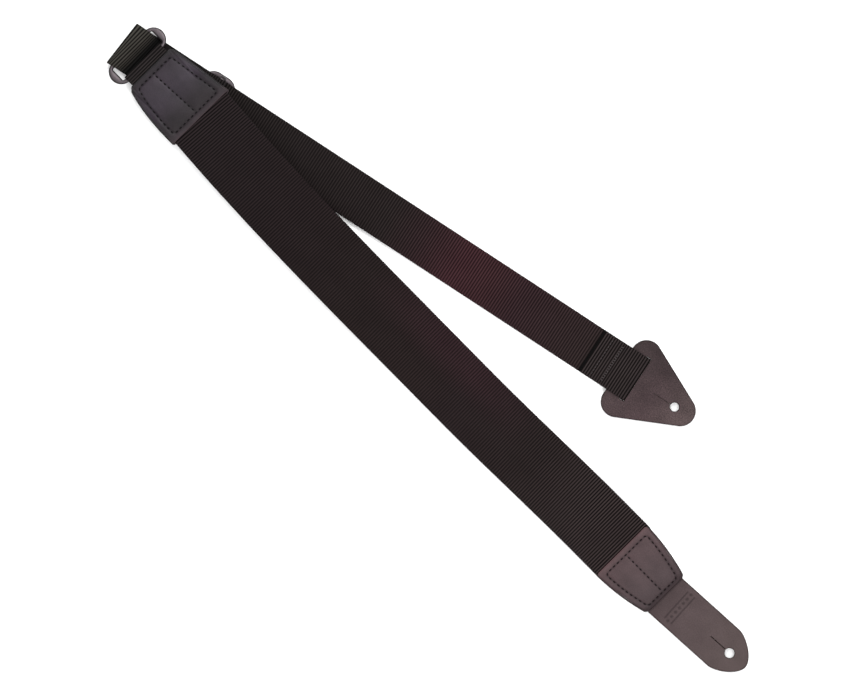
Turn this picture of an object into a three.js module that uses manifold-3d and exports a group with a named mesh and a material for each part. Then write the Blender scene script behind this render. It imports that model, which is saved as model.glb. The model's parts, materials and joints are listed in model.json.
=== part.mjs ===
// Padded guitar strap, laid flat on a surface with its adjuster strap folded back under the pad.
// Millimetres. +X runs along the pad from the ring end to the button-tab end, +Y is the side
// that the adjuster strap fans out to, and +Z points up, away from the surface.
import * as THREE from 'three';
import { mergeVertices } from 'three/addons/utils/BufferGeometryUtils.js';
import Module from 'manifold-3d';

const wasm = await Module();
wasm.setup();

const { degToRad, lerp, smoothstep } = THREE.MathUtils;

// ---- Driving dimensions ----

const GAP = 0.3; // between pieces that touch
const WEB = { width: 38.1, thickness: 1.2 };
const LEATHER = { patch: 1.4, tab: 2.8 };
const THREAD = 0.6;

const PAD = {
  start: 57,
  end: 553,
  width: 56,
  thickness: 5.5,
  skin: 1.2, // ribbed face fabric
  hem: 0.8, // face fabric turned under, and the backing beside it
  hemWidth: 6,
  corner: 2,
};
const BOW = { side: 5.9, straightFrom: 305, length: 235, back: 2.6, backStart: 370, backEnd: 520 };
const STAY = { width: 38.1, thickness: 1.0 };
// The pad's underside: raised over the strap, down on the surface, then up on the lower patch.
const LIFT = { top: 10.3, topEnd: 225, floorStart: 330, floorEnd: 455, patchStart: 490, patch: 1.7 };

// Each patch is a front and a back piece of leather, from its narrow edge to its wide edge along x.
const UPPER_PATCH = { narrow: 16, wide: 70.8, back: 8.6, front: 13.3, step: 2.8, edgeY: [-22.9, 21] };
const LOWER_PATCH = { narrow: 588.6, wide: 539.7, middle: -3.6, back: 0, front: 4.8, step: 2.7 };
const UPPER_FLARE = { low: 6.7, power: 2.6, high: 8.2, length: 54 };
const LOWER_FLARE = { halfWidth: 26.8, drop: 7.2, power: 1.9, length: 49 };
const PATCH_CORNER = 3;
const SEAM_INSET = { end: 5, lowerEnd: 3.2, upperSide: 5.5, lowerSide: 4.8, centre: 1.5 };
const BACK_SPREAD = 1; // the back pieces show this much past the front ones

const RING = {
  length: 19.4,
  width: 54.6,
  bar: 3.4,
  lobe: 4.6,
  slotCorner: 2.2,
  thickness: 2.6,
  bevel: 0.95,
  middleY: -1.5,
};
const INNER_BAR = { x: 10, z: 8.4 };
const OUTER_BAR = { x: -6, z: 6 };
const ANCHOR = { wrap: 2.6, lower: 10.9, upper: 12.4, end: 48 };

const STRAP_ANGLE = degToRad(12.2); // adjuster strap to pad
const LONG_LEG = { z: 2.7, start: 14, slopeStart: 400, slopeEnd: 418, end: 424 };
const SHORT_LEG = { z: 4.2, start: 24, end: 60.9 };
const FOLD_SKEW = Math.tan(degToRad(4.8));
const BAR_SKEW = Math.tan(STRAP_ANGLE);

const GLIDE = { u: 72.9, length: 28, width: 46.6, corner: 8, plate: 1.8, sideBar: 3.5, lobe: 3.7 };
const GLIDE_BAR = { length: 4.4, thickness: 1.6, bottom: 5.1, post: 3.2 };
const GLIDE_STITCHES = { u: -10.5, halfWidth: 16 };

const BUTTON_TAB = { holeX: 655.9, angle: degToRad(3.4), width: 37.4, tip: 16.5, taper: 23, bottom: 1.7 };
const BUTTON_HOLE = { radius: 3.85, slitEnd: -19.8 };
const BUTTON_FLEX = -60; // flex line, from the hole
const BUTTON_ROOT = -91;

const END_TAB = { u: 506.7, v: -1.6, bottom: 1.5, base: -51.2, baseCorner: 13.2, tipCorner: 12.1 };
const END_SIDE = { angle: degToRad(25.2), halfWidthAtHole: 15.55 };
const END_HOLE = { radius: 3.5, slitEnd: -19.4 };
const END_FLEX = -28;
const END_SLOT = { start: -39.5, end: -34.8, width: 39.2 };
const TAIL = { end: 429.7, fold: 470.7, rise: 446.5, riseEnd: 453.3 };
const TAIL_STITCHES = { row: 438.3, zigzag: 447.6, zigzagWidth: 4, halfWidth: 16, turns: 12 };
const SLIT = 0.35; // half width of a cut slit

// ---- Materials ----

const material = (colour, roughness, metalness = 0) =>
  new THREE.MeshStandardMaterial({ color: colour, roughness, metalness });

const RIBBED_FABRIC = material(0x241f21, 0.9);
const NEOPRENE = material(0x1b1a1c, 0.95);
const LINING = material(0x262426, 0.95);
const WEBBING = material(0x2c1f21, 0.85);
const PATCH_LEATHER = material(0x3e393f, 0.5);
const TAB_LEATHER = material(0x55474a, 0.75);
const THREAD_MATERIAL = material(0x151314, 0.7);
const METAL = material(0x8c8482, 0.35, 1);

// ---- Geometry helpers ----

const point = (x, y, z) => new THREE.Vector3(x, y, z);

// Moves every vertex of a geometry to place(x, y, z).
function reshape(geometry, place) {
  const position = geometry.attributes.position;
  for (let i = 0; i < position.count; i++) {
    const moved = place(position.getX(i), position.getY(i), position.getZ(i));
    position.setXYZ(i, moved.x, moved.y, moved.z);
  }
  return geometry;
}

// A box of nt by nv cells, each corner placed by place(t, v, w), with t, v and w from 0 to 1.
function bentBox(nt, nv, place) {
  const box = new THREE.BoxGeometry(1, 1, 1, nt, nv, 1);
  box.translate(0.5, 0.5, 0.5);
  return reshape(box, place);
}

// One closed body: vertices that share a place are one vertex.
function welded(geometry) {
  geometry.deleteAttribute('normal');
  geometry.deleteAttribute('uv');
  const closed = mergeVertices(geometry, 1e-3);
  closed.computeVertexNormals();
  return closed;
}

function toManifold(geometry) {
  const closed = welded(geometry);
  return new wasm.Manifold(new wasm.Mesh({
    numProp: 3,
    vertProperties: new Float32Array(closed.attributes.position.array),
    triVerts: new Uint32Array(closed.index.array),
  }));
}

function fromManifold(solid) {
  const mesh = solid.getMesh();
  const geometry = new THREE.BufferGeometry();
  geometry.setAttribute('position', new THREE.BufferAttribute(new Float32Array(mesh.vertProperties), 3));
  geometry.setIndex(new THREE.BufferAttribute(new Uint32Array(mesh.triVerts), 1));
  geometry.computeVertexNormals();
  return geometry;
}

function box(x0, x1, y0, y1, z0, z1) {
  const geometry = new THREE.BoxGeometry(x1 - x0, y1 - y0, z1 - z0);
  return geometry.translate((x0 + x1) / 2, (y0 + y1) / 2, (z0 + z1) / 2);
}

function plate(shape, bottom, thickness, curveSegments = 10) {
  const options = { depth: thickness, bevelEnabled: false, curveSegments };
  return new THREE.ExtrudeGeometry(shape, options).translate(0, 0, bottom);
}

// The corner points of a rectangle with round corners, anticlockwise.
function roundedRectangle(halfX, halfY, radius, cornerSteps = 6) {
  const corners = [[1, 1], [-1, 1], [-1, -1], [1, -1]];
  const turned = ([sideX, sideY], corner, i) => {
    const angle = (corner + i / cornerSteps) * (Math.PI / 2);
    const x = sideX * (halfX - radius) + radius * Math.cos(angle);
    return new THREE.Vector2(x, sideY * (halfY - radius) + radius * Math.sin(angle));
  };
  const steps = Array.from({ length: cornerSteps + 1 }, (_, i) => i);
  return corners.flatMap((sides, corner) => steps.map((i) => turned(sides, corner, i)));
}

// Points (x, z) of an arc about (cx, cz), angles in degrees from +X towards +Z.
function arc(cx, cz, radius, from, to, count) {
  return Array.from({ length: count }, (_, i) => {
    const angle = degToRad(lerp(from, to, i / (count - 1)));
    return [cx + radius * Math.cos(angle), cz + radius * Math.sin(angle)];
  });
}

function part(parent, name, geometry, surface) {
  const isWelded = geometry.index && !geometry.attributes.uv;
  const mesh = new THREE.Mesh(isWelded ? geometry : welded(geometry), surface);
  mesh.name = name;
  parent.add(mesh);
  return mesh;
}

// Webbing along a path of [u, z, skew] points on its middle plane. The skew is how far a row of
// its weave leans along the path for each millimetre across it.
function webbing(points, steps) {
  const path = new THREE.CatmullRomCurve3(points.map(([u, z, skew = 0]) => point(u, skew, z)));
  return bentBox(steps, 1, (t, v, w) => {
    const middle = path.getPoint(t);
    const along = path.getTangent(t);
    const length = Math.hypot(along.x, along.z);
    const side = (v - 0.5) * WEB.width;
    const lift = ((w - 0.5) * WEB.thickness) / length;
    return point(middle.x + side * middle.y - lift * along.z, side, middle.z + lift * along.x);
  });
}

// Evenly spaced points of a straight seam.
function straight([x0, y0], [x1, y1], count) {
  return Array.from({ length: count }, (_, i) => {
    const t = i / (count - 1);
    return [lerp(x0, x1, t), lerp(y0, y1, t)];
  });
}

// A seam's thread, lying on the surface whose height is top(x, y).
function seam(corners, top, steps) {
  const tightness = 0.05; // low, so that the thread keeps to straight lines between its corners
  const lifted = corners.map(([x, y]) => point(x, y, top(x, y) + GAP + THREAD / 2));
  const extrudePath = new THREE.CatmullRomCurve3(lifted, false, 'catmullrom', tightness);
  const section = new THREE.Shape().absarc(0, 0, THREAD / 2, 0, Math.PI * 2);
  const options = { extrudePath, steps, curveSegments: 3, bevelEnabled: false };
  return new THREE.ExtrudeGeometry(section, options);
}

// ---- Pad ----

// How far the pad's middle line lies to the side, at x.
function bow(x) {
  const { side, straightFrom, length, back, backStart, backEnd } = BOW;
  const towardsRing = Math.max(0, (straightFrom - x) / length);
  return side * (towardsRing ** 3 - 1) + back * smoothstep(x, backStart, backEnd);
}

const bowSlope = (x) => (bow(x + 0.5) - bow(x - 0.5));

function padBase(x) {
  const lowered = LIFT.top * (1 - smoothstep(x, LIFT.topEnd, LIFT.floorStart));
  return lowered + LIFT.patch * smoothstep(x, LIFT.floorEnd, LIFT.patchStart);
}

// A pad layer: its cross-section (y, height above the pad's underside) swept along the bowed pad.
function padLayer(section, steps = 28) {
  const options = { depth: 1, steps, curveSegments: 2, bevelEnabled: false };
  return reshape(new THREE.ExtrudeGeometry(section, options), (y, w, t) => {
    const x = lerp(PAD.start, PAD.end, t);
    return point(x - y * bowSlope(x), bow(x) + y, padBase(x) + w);
  });
}

function padFaceSection() {
  const half = PAD.width / 2;
  const { thickness, skin, hem, corner } = PAD;
  const inner = corner - skin;
  const lip = half - PAD.hemWidth;
  const shape = new THREE.Shape();
  shape.moveTo(lip, 0);
  shape.absarc(half - corner, corner, corner, -Math.PI / 2, 0);
  shape.absarc(half - corner, thickness - corner, corner, 0, Math.PI / 2);
  shape.absarc(corner - half, thickness - corner, corner, Math.PI / 2, Math.PI);
  shape.absarc(corner - half, corner, corner, Math.PI, Math.PI * 1.5);
  shape.lineTo(-lip, 0);
  shape.lineTo(-lip, hem);
  shape.absarc(corner - half, hem + inner, inner, Math.PI * 1.5, Math.PI, true);
  shape.absarc(corner - half, thickness - corner, inner, Math.PI, Math.PI / 2, true);
  shape.absarc(half - corner, thickness - corner, inner, Math.PI / 2, 0, true);
  shape.absarc(half - corner, hem + inner, inner, 0, -Math.PI / 2, true);
  shape.lineTo(lip, hem);
  shape.closePath();
  return shape;
}

function rectangle(halfWidth, bottom, top) {
  const shape = new THREE.Shape();
  shape.moveTo(-halfWidth, bottom);
  shape.lineTo(halfWidth, bottom);
  shape.lineTo(halfWidth, top);
  shape.lineTo(-halfWidth, top);
  shape.closePath();
  return shape;
}

// The core has a shallow channel in its underside for the stay webbing.
function padCoreSection() {
  const half = PAD.width / 2 - PAD.skin - GAP - 0.1;
  const chamfer = 0.5;
  const bottom = PAD.hem + GAP;
  const top = PAD.thickness - PAD.skin - GAP;
  const channel = STAY.width / 2 + GAP;
  const ceiling = bottom + STAY.thickness + GAP;
  const shape = new THREE.Shape();
  shape.moveTo(-half, bottom);
  shape.lineTo(-channel, bottom);
  shape.lineTo(-channel, ceiling);
  shape.lineTo(channel, ceiling);
  shape.lineTo(channel, bottom);
  shape.lineTo(half, bottom);
  shape.lineTo(half, top - chamfer);
  shape.lineTo(half - chamfer, top);
  shape.lineTo(chamfer - half, top);
  shape.lineTo(-half, top - chamfer);
  shape.closePath();
  return shape;
}

function addPad(parent) {
  const stayBottom = PAD.hem + GAP;
  const stay = rectangle(STAY.width / 2, stayBottom, stayBottom + STAY.thickness);
  const backing = rectangle(PAD.width / 2 - PAD.hemWidth - GAP, 0, PAD.hem);
  part(parent, 'pad_face', padLayer(padFaceSection()), RIBBED_FABRIC);
  part(parent, 'pad_core', padLayer(padCoreSection()), NEOPRENE);
  part(parent, 'stay_webbing', padLayer(stay), WEBBING);
  part(parent, 'pad_backing', padLayer(backing), LINING);
}

// ---- Leather patches over the pad's two ends ----

function upperLow(x) {
  const { low, power, length } = UPPER_FLARE;
  const narrowing = Math.max(0, (UPPER_PATCH.narrow + length - x) / length);
  return UPPER_PATCH.edgeY[0] - low * (1 - narrowing ** power);
}

function upperHigh(x) {
  return UPPER_PATCH.edgeY[1] + (UPPER_FLARE.high * (x - UPPER_PATCH.narrow)) / UPPER_FLARE.length;
}

function lowerHalf(x) {
  const { halfWidth, drop, power, length } = LOWER_FLARE;
  return halfWidth - drop * Math.max(0, (x - LOWER_PATCH.wide) / length) ** power;
}

const lowerLow = (x) => LOWER_PATCH.middle - lowerHalf(x);
const lowerHigh = (x) => LOWER_PATCH.middle + lowerHalf(x);

// The front pieces step up where they lie over the pad, just before the pad starts and ends.
function upperFront(x) {
  return UPPER_PATCH.front + UPPER_PATCH.step * smoothstep(x, PAD.start - 11, PAD.start - 4);
}

function lowerFront(x) {
  return LOWER_PATCH.front + LOWER_PATCH.step * (1 - smoothstep(x, PAD.end + 3, PAD.end + 10));
}

// How far a corner of radius PATCH_CORNER takes the side in, at a distance from the patch's end.
function cornerInset(distance) {
  const inside = Math.max(0, PATCH_CORNER - Math.max(0, distance));
  return PATCH_CORNER - Math.sqrt(PATCH_CORNER ** 2 - inside ** 2);
}

function patch(from, to, low, high, bottom, spread) {
  return bentBox(18, 2, (t, v, w) => {
    const x = (from + to) / 2 - ((to - from) / 2) * Math.cos(Math.PI * t);
    const inset = cornerInset(Math.min(x - from, to - x)) - spread;
    return point(x, lerp(low(x) + inset, high(x) - inset, v), bottom(x) + w * LEATHER.patch);
  });
}

// Corner points of the seam round a patch, just short of a closed loop.
function edgeSeam(from, to, low, high, sideInset) {
  const bottomY = (x) => low(x) + sideInset;
  const topY = (x) => high(x) - sideInset;
  const round = 1.2;
  const side = [0.08, 0.3, 0.5, 0.7, 0.92].map((t) => lerp(from, to, t));
  return [
    [from, bottomY(from) + 2 * round],
    [from, 0],
    [from, topY(from) - round],
    [from + round, topY(from)],
    ...side.map((x) => [x, topY(x)]),
    [to - round, topY(to)],
    [to, topY(to) - round],
    [to, 0],
    [to, bottomY(to) + round],
    [to - round, bottomY(to)],
    ...side.toReversed().map((x) => [x, bottomY(x)]),
    [from + round, bottomY(from)],
  ];
}

function addUpperPatch(parent) {
  const { narrow, wide, back } = UPPER_PATCH;
  const top = (x) => upperFront(x) + LEATHER.patch;
  const seamFrom = narrow + SEAM_INSET.end;
  const seamTo = wide - SEAM_INSET.end;
  const front = patch(narrow, wide, upperLow, upperHigh, upperFront, 0);
  const [from, to] = [narrow + 1.5 * BACK_SPREAD, wide + BACK_SPREAD];
  const behind = patch(from, to, upperLow, upperHigh, () => back, BACK_SPREAD);
  part(parent, 'upper_patch_front', front, PATCH_LEATHER);
  part(parent, 'upper_patch_back', behind, PATCH_LEATHER);
  const edge = edgeSeam(seamFrom, seamTo, upperLow, upperHigh, SEAM_INSET.upperSide);
  part(parent, 'upper_edge_thread', seam(edge, top, 56), THREAD_MATERIAL);
  const centre = straight([seamFrom + SEAM_INSET.centre, -2.3], [seamTo - SEAM_INSET.centre, -0.1], 12);
  part(parent, 'upper_centre_thread', seam(centre, top, 16), THREAD_MATERIAL);
}

function addLowerPatch(parent) {
  const { narrow, wide, back, middle } = LOWER_PATCH;
  const top = (x) => lowerFront(x) + LEATHER.patch;
  const seamFrom = wide + SEAM_INSET.end;
  const seamTo = narrow - SEAM_INSET.lowerEnd;
  const front = patch(wide, narrow, lowerLow, lowerHigh, lowerFront, 0);
  const [from, to] = [wide - BACK_SPREAD, narrow - 0.5 * BACK_SPREAD];
  const behind = patch(from, to, lowerLow, lowerHigh, () => back, BACK_SPREAD);
  part(parent, 'lower_patch_front', front, PATCH_LEATHER);
  part(parent, 'lower_patch_back', behind, PATCH_LEATHER);
  const edge = edgeSeam(seamFrom, seamTo, lowerLow, lowerHigh, SEAM_INSET.lowerSide);
  part(parent, 'lower_edge_thread', seam(edge, top, 56), THREAD_MATERIAL);
  const centre = straight([seamFrom + SEAM_INSET.centre, middle], [seamTo - SEAM_INSET.centre, middle], 12);
  part(parent, 'lower_centre_thread', seam(centre, top, 16), THREAD_MATERIAL);
}

// ---- Ring and the webbing that anchors it to the pad ----

function addAnchorWebbing(parent) {
  const { wrap, lower, upper, end } = ANCHOR;
  const points = [
    [end, lower],
    [34, lower],
    [20, lower],
    [17.2, lower - 0.3],
    [14.6, lower - 2],
    ...arc(INNER_BAR.x, INNER_BAR.z, wrap, -50, -270, 11),
    [13, 11.4],
    [17, upper],
    [20, upper],
    [34, upper],
    [end, upper],
  ];
  const mesh = part(parent, 'anchor_webbing', webbing(points, 44), WEBBING);
  mesh.position.y = RING.middleY;
}

function addRing(parent) {
  const { length, width, bar, lobe, slotCorner, thickness, bevel } = RING;
  const outline = new THREE.Shape(roundedRectangle(length / 2, width / 2, length / 2 - 0.2));
  outline.holes.push(new THREE.Path(roundedRectangle(length / 2 - bar, width / 2 - lobe, slotCorner)));
  const geometry = new THREE.ExtrudeGeometry(outline, {
    depth: thickness - 2 * bevel,
    bevelThickness: bevel,
    bevelSize: bevel,
    bevelOffset: -bevel,
    bevelSegments: 2,
    curveSegments: 8,
  });
  geometry.translate(0, 0, bevel - thickness / 2);
  const mesh = part(parent, 'oval_ring', geometry, METAL);
  const rise = INNER_BAR.z - OUTER_BAR.z;
  mesh.position.set((INNER_BAR.x + OUTER_BAR.x) / 2, RING.middleY, (INNER_BAR.z + OUTER_BAR.z) / 2);
  mesh.rotation.y = -Math.asin(rise / (length - bar));
}

// ---- Adjuster strap: u runs along it from the ring's outer bar, v across it ----

function addAdjusterWebbing(parent) {
  const { z, start, slopeStart, slopeEnd, end } = LONG_LEG;
  const fold = [
    [start, z],
    [4, z],
    [-3, z],
    [-5.6, z + 0.1, FOLD_SKEW],
    [-7.1, z + 0.8, FOLD_SKEW],
    [-7.6, z + 1.9, FOLD_SKEW],
    [-7.0, z + 3.1, FOLD_SKEW],
    [-4.8, z + 4.5, lerp(FOLD_SKEW, BAR_SKEW, 0.6)],
    [-2.4, z + 5.5, BAR_SKEW],
    [0, z + 5.8, BAR_SKEW],
    [2.3, z + 5.5, BAR_SKEW],
    [4.2, z + 4.1, BAR_SKEW],
    [5.8, z + 2.6, BAR_SKEW],
    [8, z + 1.75, BAR_SKEW * 0.95],
    [12, SHORT_LEG.z, BAR_SKEW * 0.7],
    [18, SHORT_LEG.z, BAR_SKEW * 0.25],
    [SHORT_LEG.start, SHORT_LEG.z],
  ];
  const shortStart = [SHORT_LEG.start + GAP, SHORT_LEG.z];
  const shortEnd = [SHORT_LEG.end - GAP, SHORT_LEG.z];
  const low = WEB.thickness / 2;
  const slope = [0, 0.25, 0.5, 0.75, 1];
  const longLeg = [
    [start + GAP, z],
    [120, z],
    [260, z],
    [380, z],
    ...slope.map((t) => [lerp(slopeStart, slopeEnd, t), lerp(z, low, smoothstep(t, 0, 1))]),
    [slopeEnd + 2, low],
    [end - GAP, low],
  ];
  part(parent, 'adjuster_fold', webbing(fold, 44), WEBBING);
  part(parent, 'adjuster_short_leg', webbing(straight(shortStart, shortEnd, 3), 4), WEBBING);
  part(parent, 'adjuster_long_leg', webbing(longLeg, 48), WEBBING);
}

// The glide is a plate with one opening, and a centre bar that stands above it on two posts,
// so that the long leg runs between the side bars and the centre bar.
function addGlide(parent) {
  const { length, width, corner, plate: thick, sideBar, lobe } = GLIDE;
  const outline = new THREE.Shape(roundedRectangle(length / 2, width / 2, corner));
  outline.holes.push(new THREE.Path(roundedRectangle(length / 2 - sideBar, width / 2 - lobe, 3)));
  const half = GLIDE_BAR.length / 2;
  const reach = width / 2 - 0.5;
  const top = GLIDE_BAR.bottom + GLIDE_BAR.thickness;
  const post = (side) => {
    const outer = side * reach;
    const inner = side * (reach - GLIDE_BAR.post);
    return toManifold(box(-half, half, Math.min(inner, outer), Math.max(inner, outer), thick / 2, top));
  };
  const bar = toManifold(box(-half, half, -reach, reach, GLIDE_BAR.bottom, top));
  const solid = toManifold(plate(outline, 0, thick, 6)).add(post(-1)).add(post(1)).add(bar);
  part(parent, 'tri_glide', fromManifold(solid), METAL).position.x = GLIDE.u;

  const loopTop = top + GAP + WEB.thickness / 2;
  const lowerLayer = SHORT_LEG.z;
  const upperLayer = lowerLayer + WEB.thickness + GAP;
  const turn = (loopTop - lowerLayer) / 2;
  const loop = [
    [SHORT_LEG.end - GLIDE.u, lowerLayer],
    [-6, lowerLayer],
    [0, lowerLayer],
    ...arc(2.8, lowerLayer + turn, turn, -90, 90, 7),
    [0, loopTop],
    [-3, loopTop - 0.1],
    [-6.5, upperLayer + 0.5],
    [-9, upperLayer],
    [-14, upperLayer],
  ];
  part(parent, 'glide_end_loop', webbing(loop, 36), WEBBING).position.x = GLIDE.u;
  const rowTop = upperLayer + WEB.thickness / 2;
  const { u, halfWidth } = GLIDE_STITCHES;
  const row = straight([u, -halfWidth], [u, halfWidth], 3);
  const thread = part(parent, 'glide_loop_thread', seam(row, () => rowTop, 4), THREAD_MATERIAL);
  thread.position.x = GLIDE.u;
}

// Height of the middle of the turned-back tail above the surface, along u.
const TAIL_LOW = WEB.thickness * 1.5 + GAP;
const TAIL_HIGH = END_TAB.bottom + LEATHER.tab + GAP + WEB.thickness / 2;
const tailMiddle = (u) => lerp(TAIL_LOW, TAIL_HIGH, smoothstep(u, TAIL.rise, TAIL.riseEnd));

function addStrapEnd(parent) {
  const low = WEB.thickness / 2;
  const turn = (TAIL_HIGH - low) / 2;
  const foldMiddle = TAIL.fold - turn;
  const rise = [1, 0.75, 0.5, 0.25, 0].map((t) => lerp(TAIL.rise, TAIL.riseEnd, t));
  const tail = [466, 460, 456, ...rise, 440, 434, TAIL.end];
  const loop = [
    [LONG_LEG.end, low],
    [440, low],
    [456, low],
    [foldMiddle - 1, low],
    [foldMiddle - 0.4, low],
    ...arc(foldMiddle, low + turn, turn, -90, 90, 9),
    ...tail.map((u) => [u, tailMiddle(u)]),
  ];
  part(parent, 'strap_end_loop', webbing(loop, 64), WEBBING);

  const { row, zigzag, zigzagWidth, halfWidth, turns } = TAIL_STITCHES;
  const tailTop = (u) => tailMiddle(u) + WEB.thickness / 2 + 0.1;
  const rowEnds = straight([row, -halfWidth], [row, halfWidth], 3);
  part(parent, 'tail_row_thread', seam(rowEnds, tailTop, 4), THREAD_MATERIAL);
  const points = Array.from({ length: turns + 1 }, (_, i) => {
    const sway = (i % 2 ? 0.5 : -0.5) * zigzagWidth;
    return [zigzag + sway, lerp(-halfWidth, halfWidth, i / turns)];
  });
  part(parent, 'tail_zigzag_thread', seam(points, (u) => tailTop(u) + 0.15, 36), THREAD_MATERIAL);
}

// ---- Leather tabs: each with a button hole and a slit that lets the button's head through ----

function keyhole(radius, slitEnd) {
  const start = Math.asin(SLIT / radius);
  const hole = new THREE.Path();
  hole.absarc(0, 0, radius, Math.PI - start, start - Math.PI, true);
  hole.lineTo(slitEnd, -SLIT);
  hole.lineTo(slitEnd, SLIT);
  hole.closePath();
  return hole;
}

// The leather beyond the flex line, with a round edge about that line to turn on.
function freeLeather(sheet, flex, bottom) {
  const reach = 60;
  const radius = LEATHER.tab / 2;
  const knuckle = new THREE.CylinderGeometry(radius, radius, 2 * reach, 16);
  knuckle.translate(flex, 0, bottom + radius);
  const beyond = toManifold(box(flex, 200, -reach, reach, bottom - 1, bottom + LEATHER.tab + 1));
  return fromManifold(toManifold(sheet).intersect(beyond.add(toManifold(knuckle))));
}

// The leather before the flex line.
function heldLeather(sheet, flex, bottom) {
  const end = flex - LEATHER.tab / 2 - GAP;
  const before = toManifold(box(-200, end, -60, 60, bottom - 1, bottom + LEATHER.tab + 1));
  return fromManifold(toManifold(sheet).intersect(before));
}

function buttonTabShape() {
  const { width, tip, taper } = BUTTON_TAB;
  const half = width / 2;
  const shape = new THREE.Shape();
  shape.moveTo(BUTTON_ROOT, -half);
  shape.lineTo(tip - taper, -half);
  shape.bezierCurveTo(tip - taper + 7, -half, tip, -9, tip, 0);
  shape.bezierCurveTo(tip, 9, tip - taper + 7, half, tip - taper, half);
  shape.lineTo(BUTTON_ROOT, half);
  shape.closePath();
  shape.holes.push(keyhole(BUTTON_HOLE.radius, BUTTON_HOLE.slitEnd));
  return shape;
}

function addButtonTab(parent) {
  const tab = new THREE.Group();
  tab.position.x = BUTTON_TAB.holeX;
  tab.rotation.z = BUTTON_TAB.angle;
  const sheet = () => plate(buttonTabShape(), BUTTON_TAB.bottom, LEATHER.tab, 18);
  part(tab, 'button_tab_root', heldLeather(sheet(), BUTTON_FLEX, BUTTON_TAB.bottom), TAB_LEATHER);
  part(tab, 'button_tab', freeLeather(sheet(), BUTTON_FLEX, BUTTON_TAB.bottom), TAB_LEATHER);
  parent.add(tab);
}

// A triangle whose sides touch three corner circles, with a slot across its base for the webbing.
function endTabShape() {
  const { base, baseCorner, tipCorner } = END_TAB;
  const { angle, halfWidthAtHole } = END_SIDE;
  const normal = Math.PI / 2 - angle;
  const halfWidth = (u) => halfWidthAtHole - u * Math.tan(angle);
  const baseU = base + baseCorner;
  const baseV = halfWidth(baseU) - baseCorner / Math.cos(angle);
  const tipU = (halfWidthAtHole - tipCorner / Math.cos(angle)) / Math.tan(angle);
  const shape = new THREE.Shape();
  shape.absarc(tipU, 0, tipCorner, -normal, normal);
  shape.absarc(baseU, baseV, baseCorner, normal, Math.PI);
  shape.absarc(baseU, -baseV, baseCorner, Math.PI, 2 * Math.PI - normal);
  shape.closePath();
  shape.holes.push(keyhole(END_HOLE.radius, END_HOLE.slitEnd));
  const slot = new THREE.Path();
  const middle = -END_TAB.v;
  slot.moveTo(END_SLOT.start, middle - END_SLOT.width / 2);
  slot.lineTo(END_SLOT.end, middle - END_SLOT.width / 2);
  slot.lineTo(END_SLOT.end, middle + END_SLOT.width / 2);
  slot.lineTo(END_SLOT.start, middle + END_SLOT.width / 2);
  slot.closePath();
  shape.holes.push(slot);
  return shape;
}

function addEndTab(parent) {
  const tab = new THREE.Group();
  tab.position.set(END_TAB.u, END_TAB.v, 0);
  const sheet = () => plate(endTabShape(), END_TAB.bottom, LEATHER.tab, 18);
  part(tab, 'end_tab_root', heldLeather(sheet(), END_FLEX, END_TAB.bottom), TAB_LEATHER);
  part(tab, 'end_tab', freeLeather(sheet(), END_FLEX, END_TAB.bottom), TAB_LEATHER);
  parent.add(tab);
}

// ---- Assembly ----

const strap = new THREE.Group();
addPad(strap);
addUpperPatch(strap);
addLowerPatch(strap);
addAnchorWebbing(strap);
addRing(strap);
addButtonTab(strap);

const adjuster = new THREE.Group();
adjuster.position.set(OUTER_BAR.x, RING.middleY, 0);
adjuster.rotation.z = STRAP_ANGLE;
addAdjusterWebbing(adjuster);
addGlide(adjuster);
addStrapEnd(adjuster);
addEndTab(adjuster);
strap.add(adjuster);

// The origin is the middle of the strap's box, on the surface it lies on.
strap.updateMatrixWorld(true);
const bounds = new THREE.Box3().setFromObject(strap, true);
const middle = bounds.getCenter(new THREE.Vector3());
strap.position.set(-middle.x, -middle.y, -bounds.min.z);

export default strap;
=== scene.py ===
"""Guitar strap: the fabric, leather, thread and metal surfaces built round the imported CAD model.

Points are worked out in millimetres in one of four frames and placed in metres by a Placer:
pad (x along the pad), strap (u along the adjuster strap, v across it), tab and end_tab (p from
the button hole along the leather, q across it).
"""

import json
import math

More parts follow.
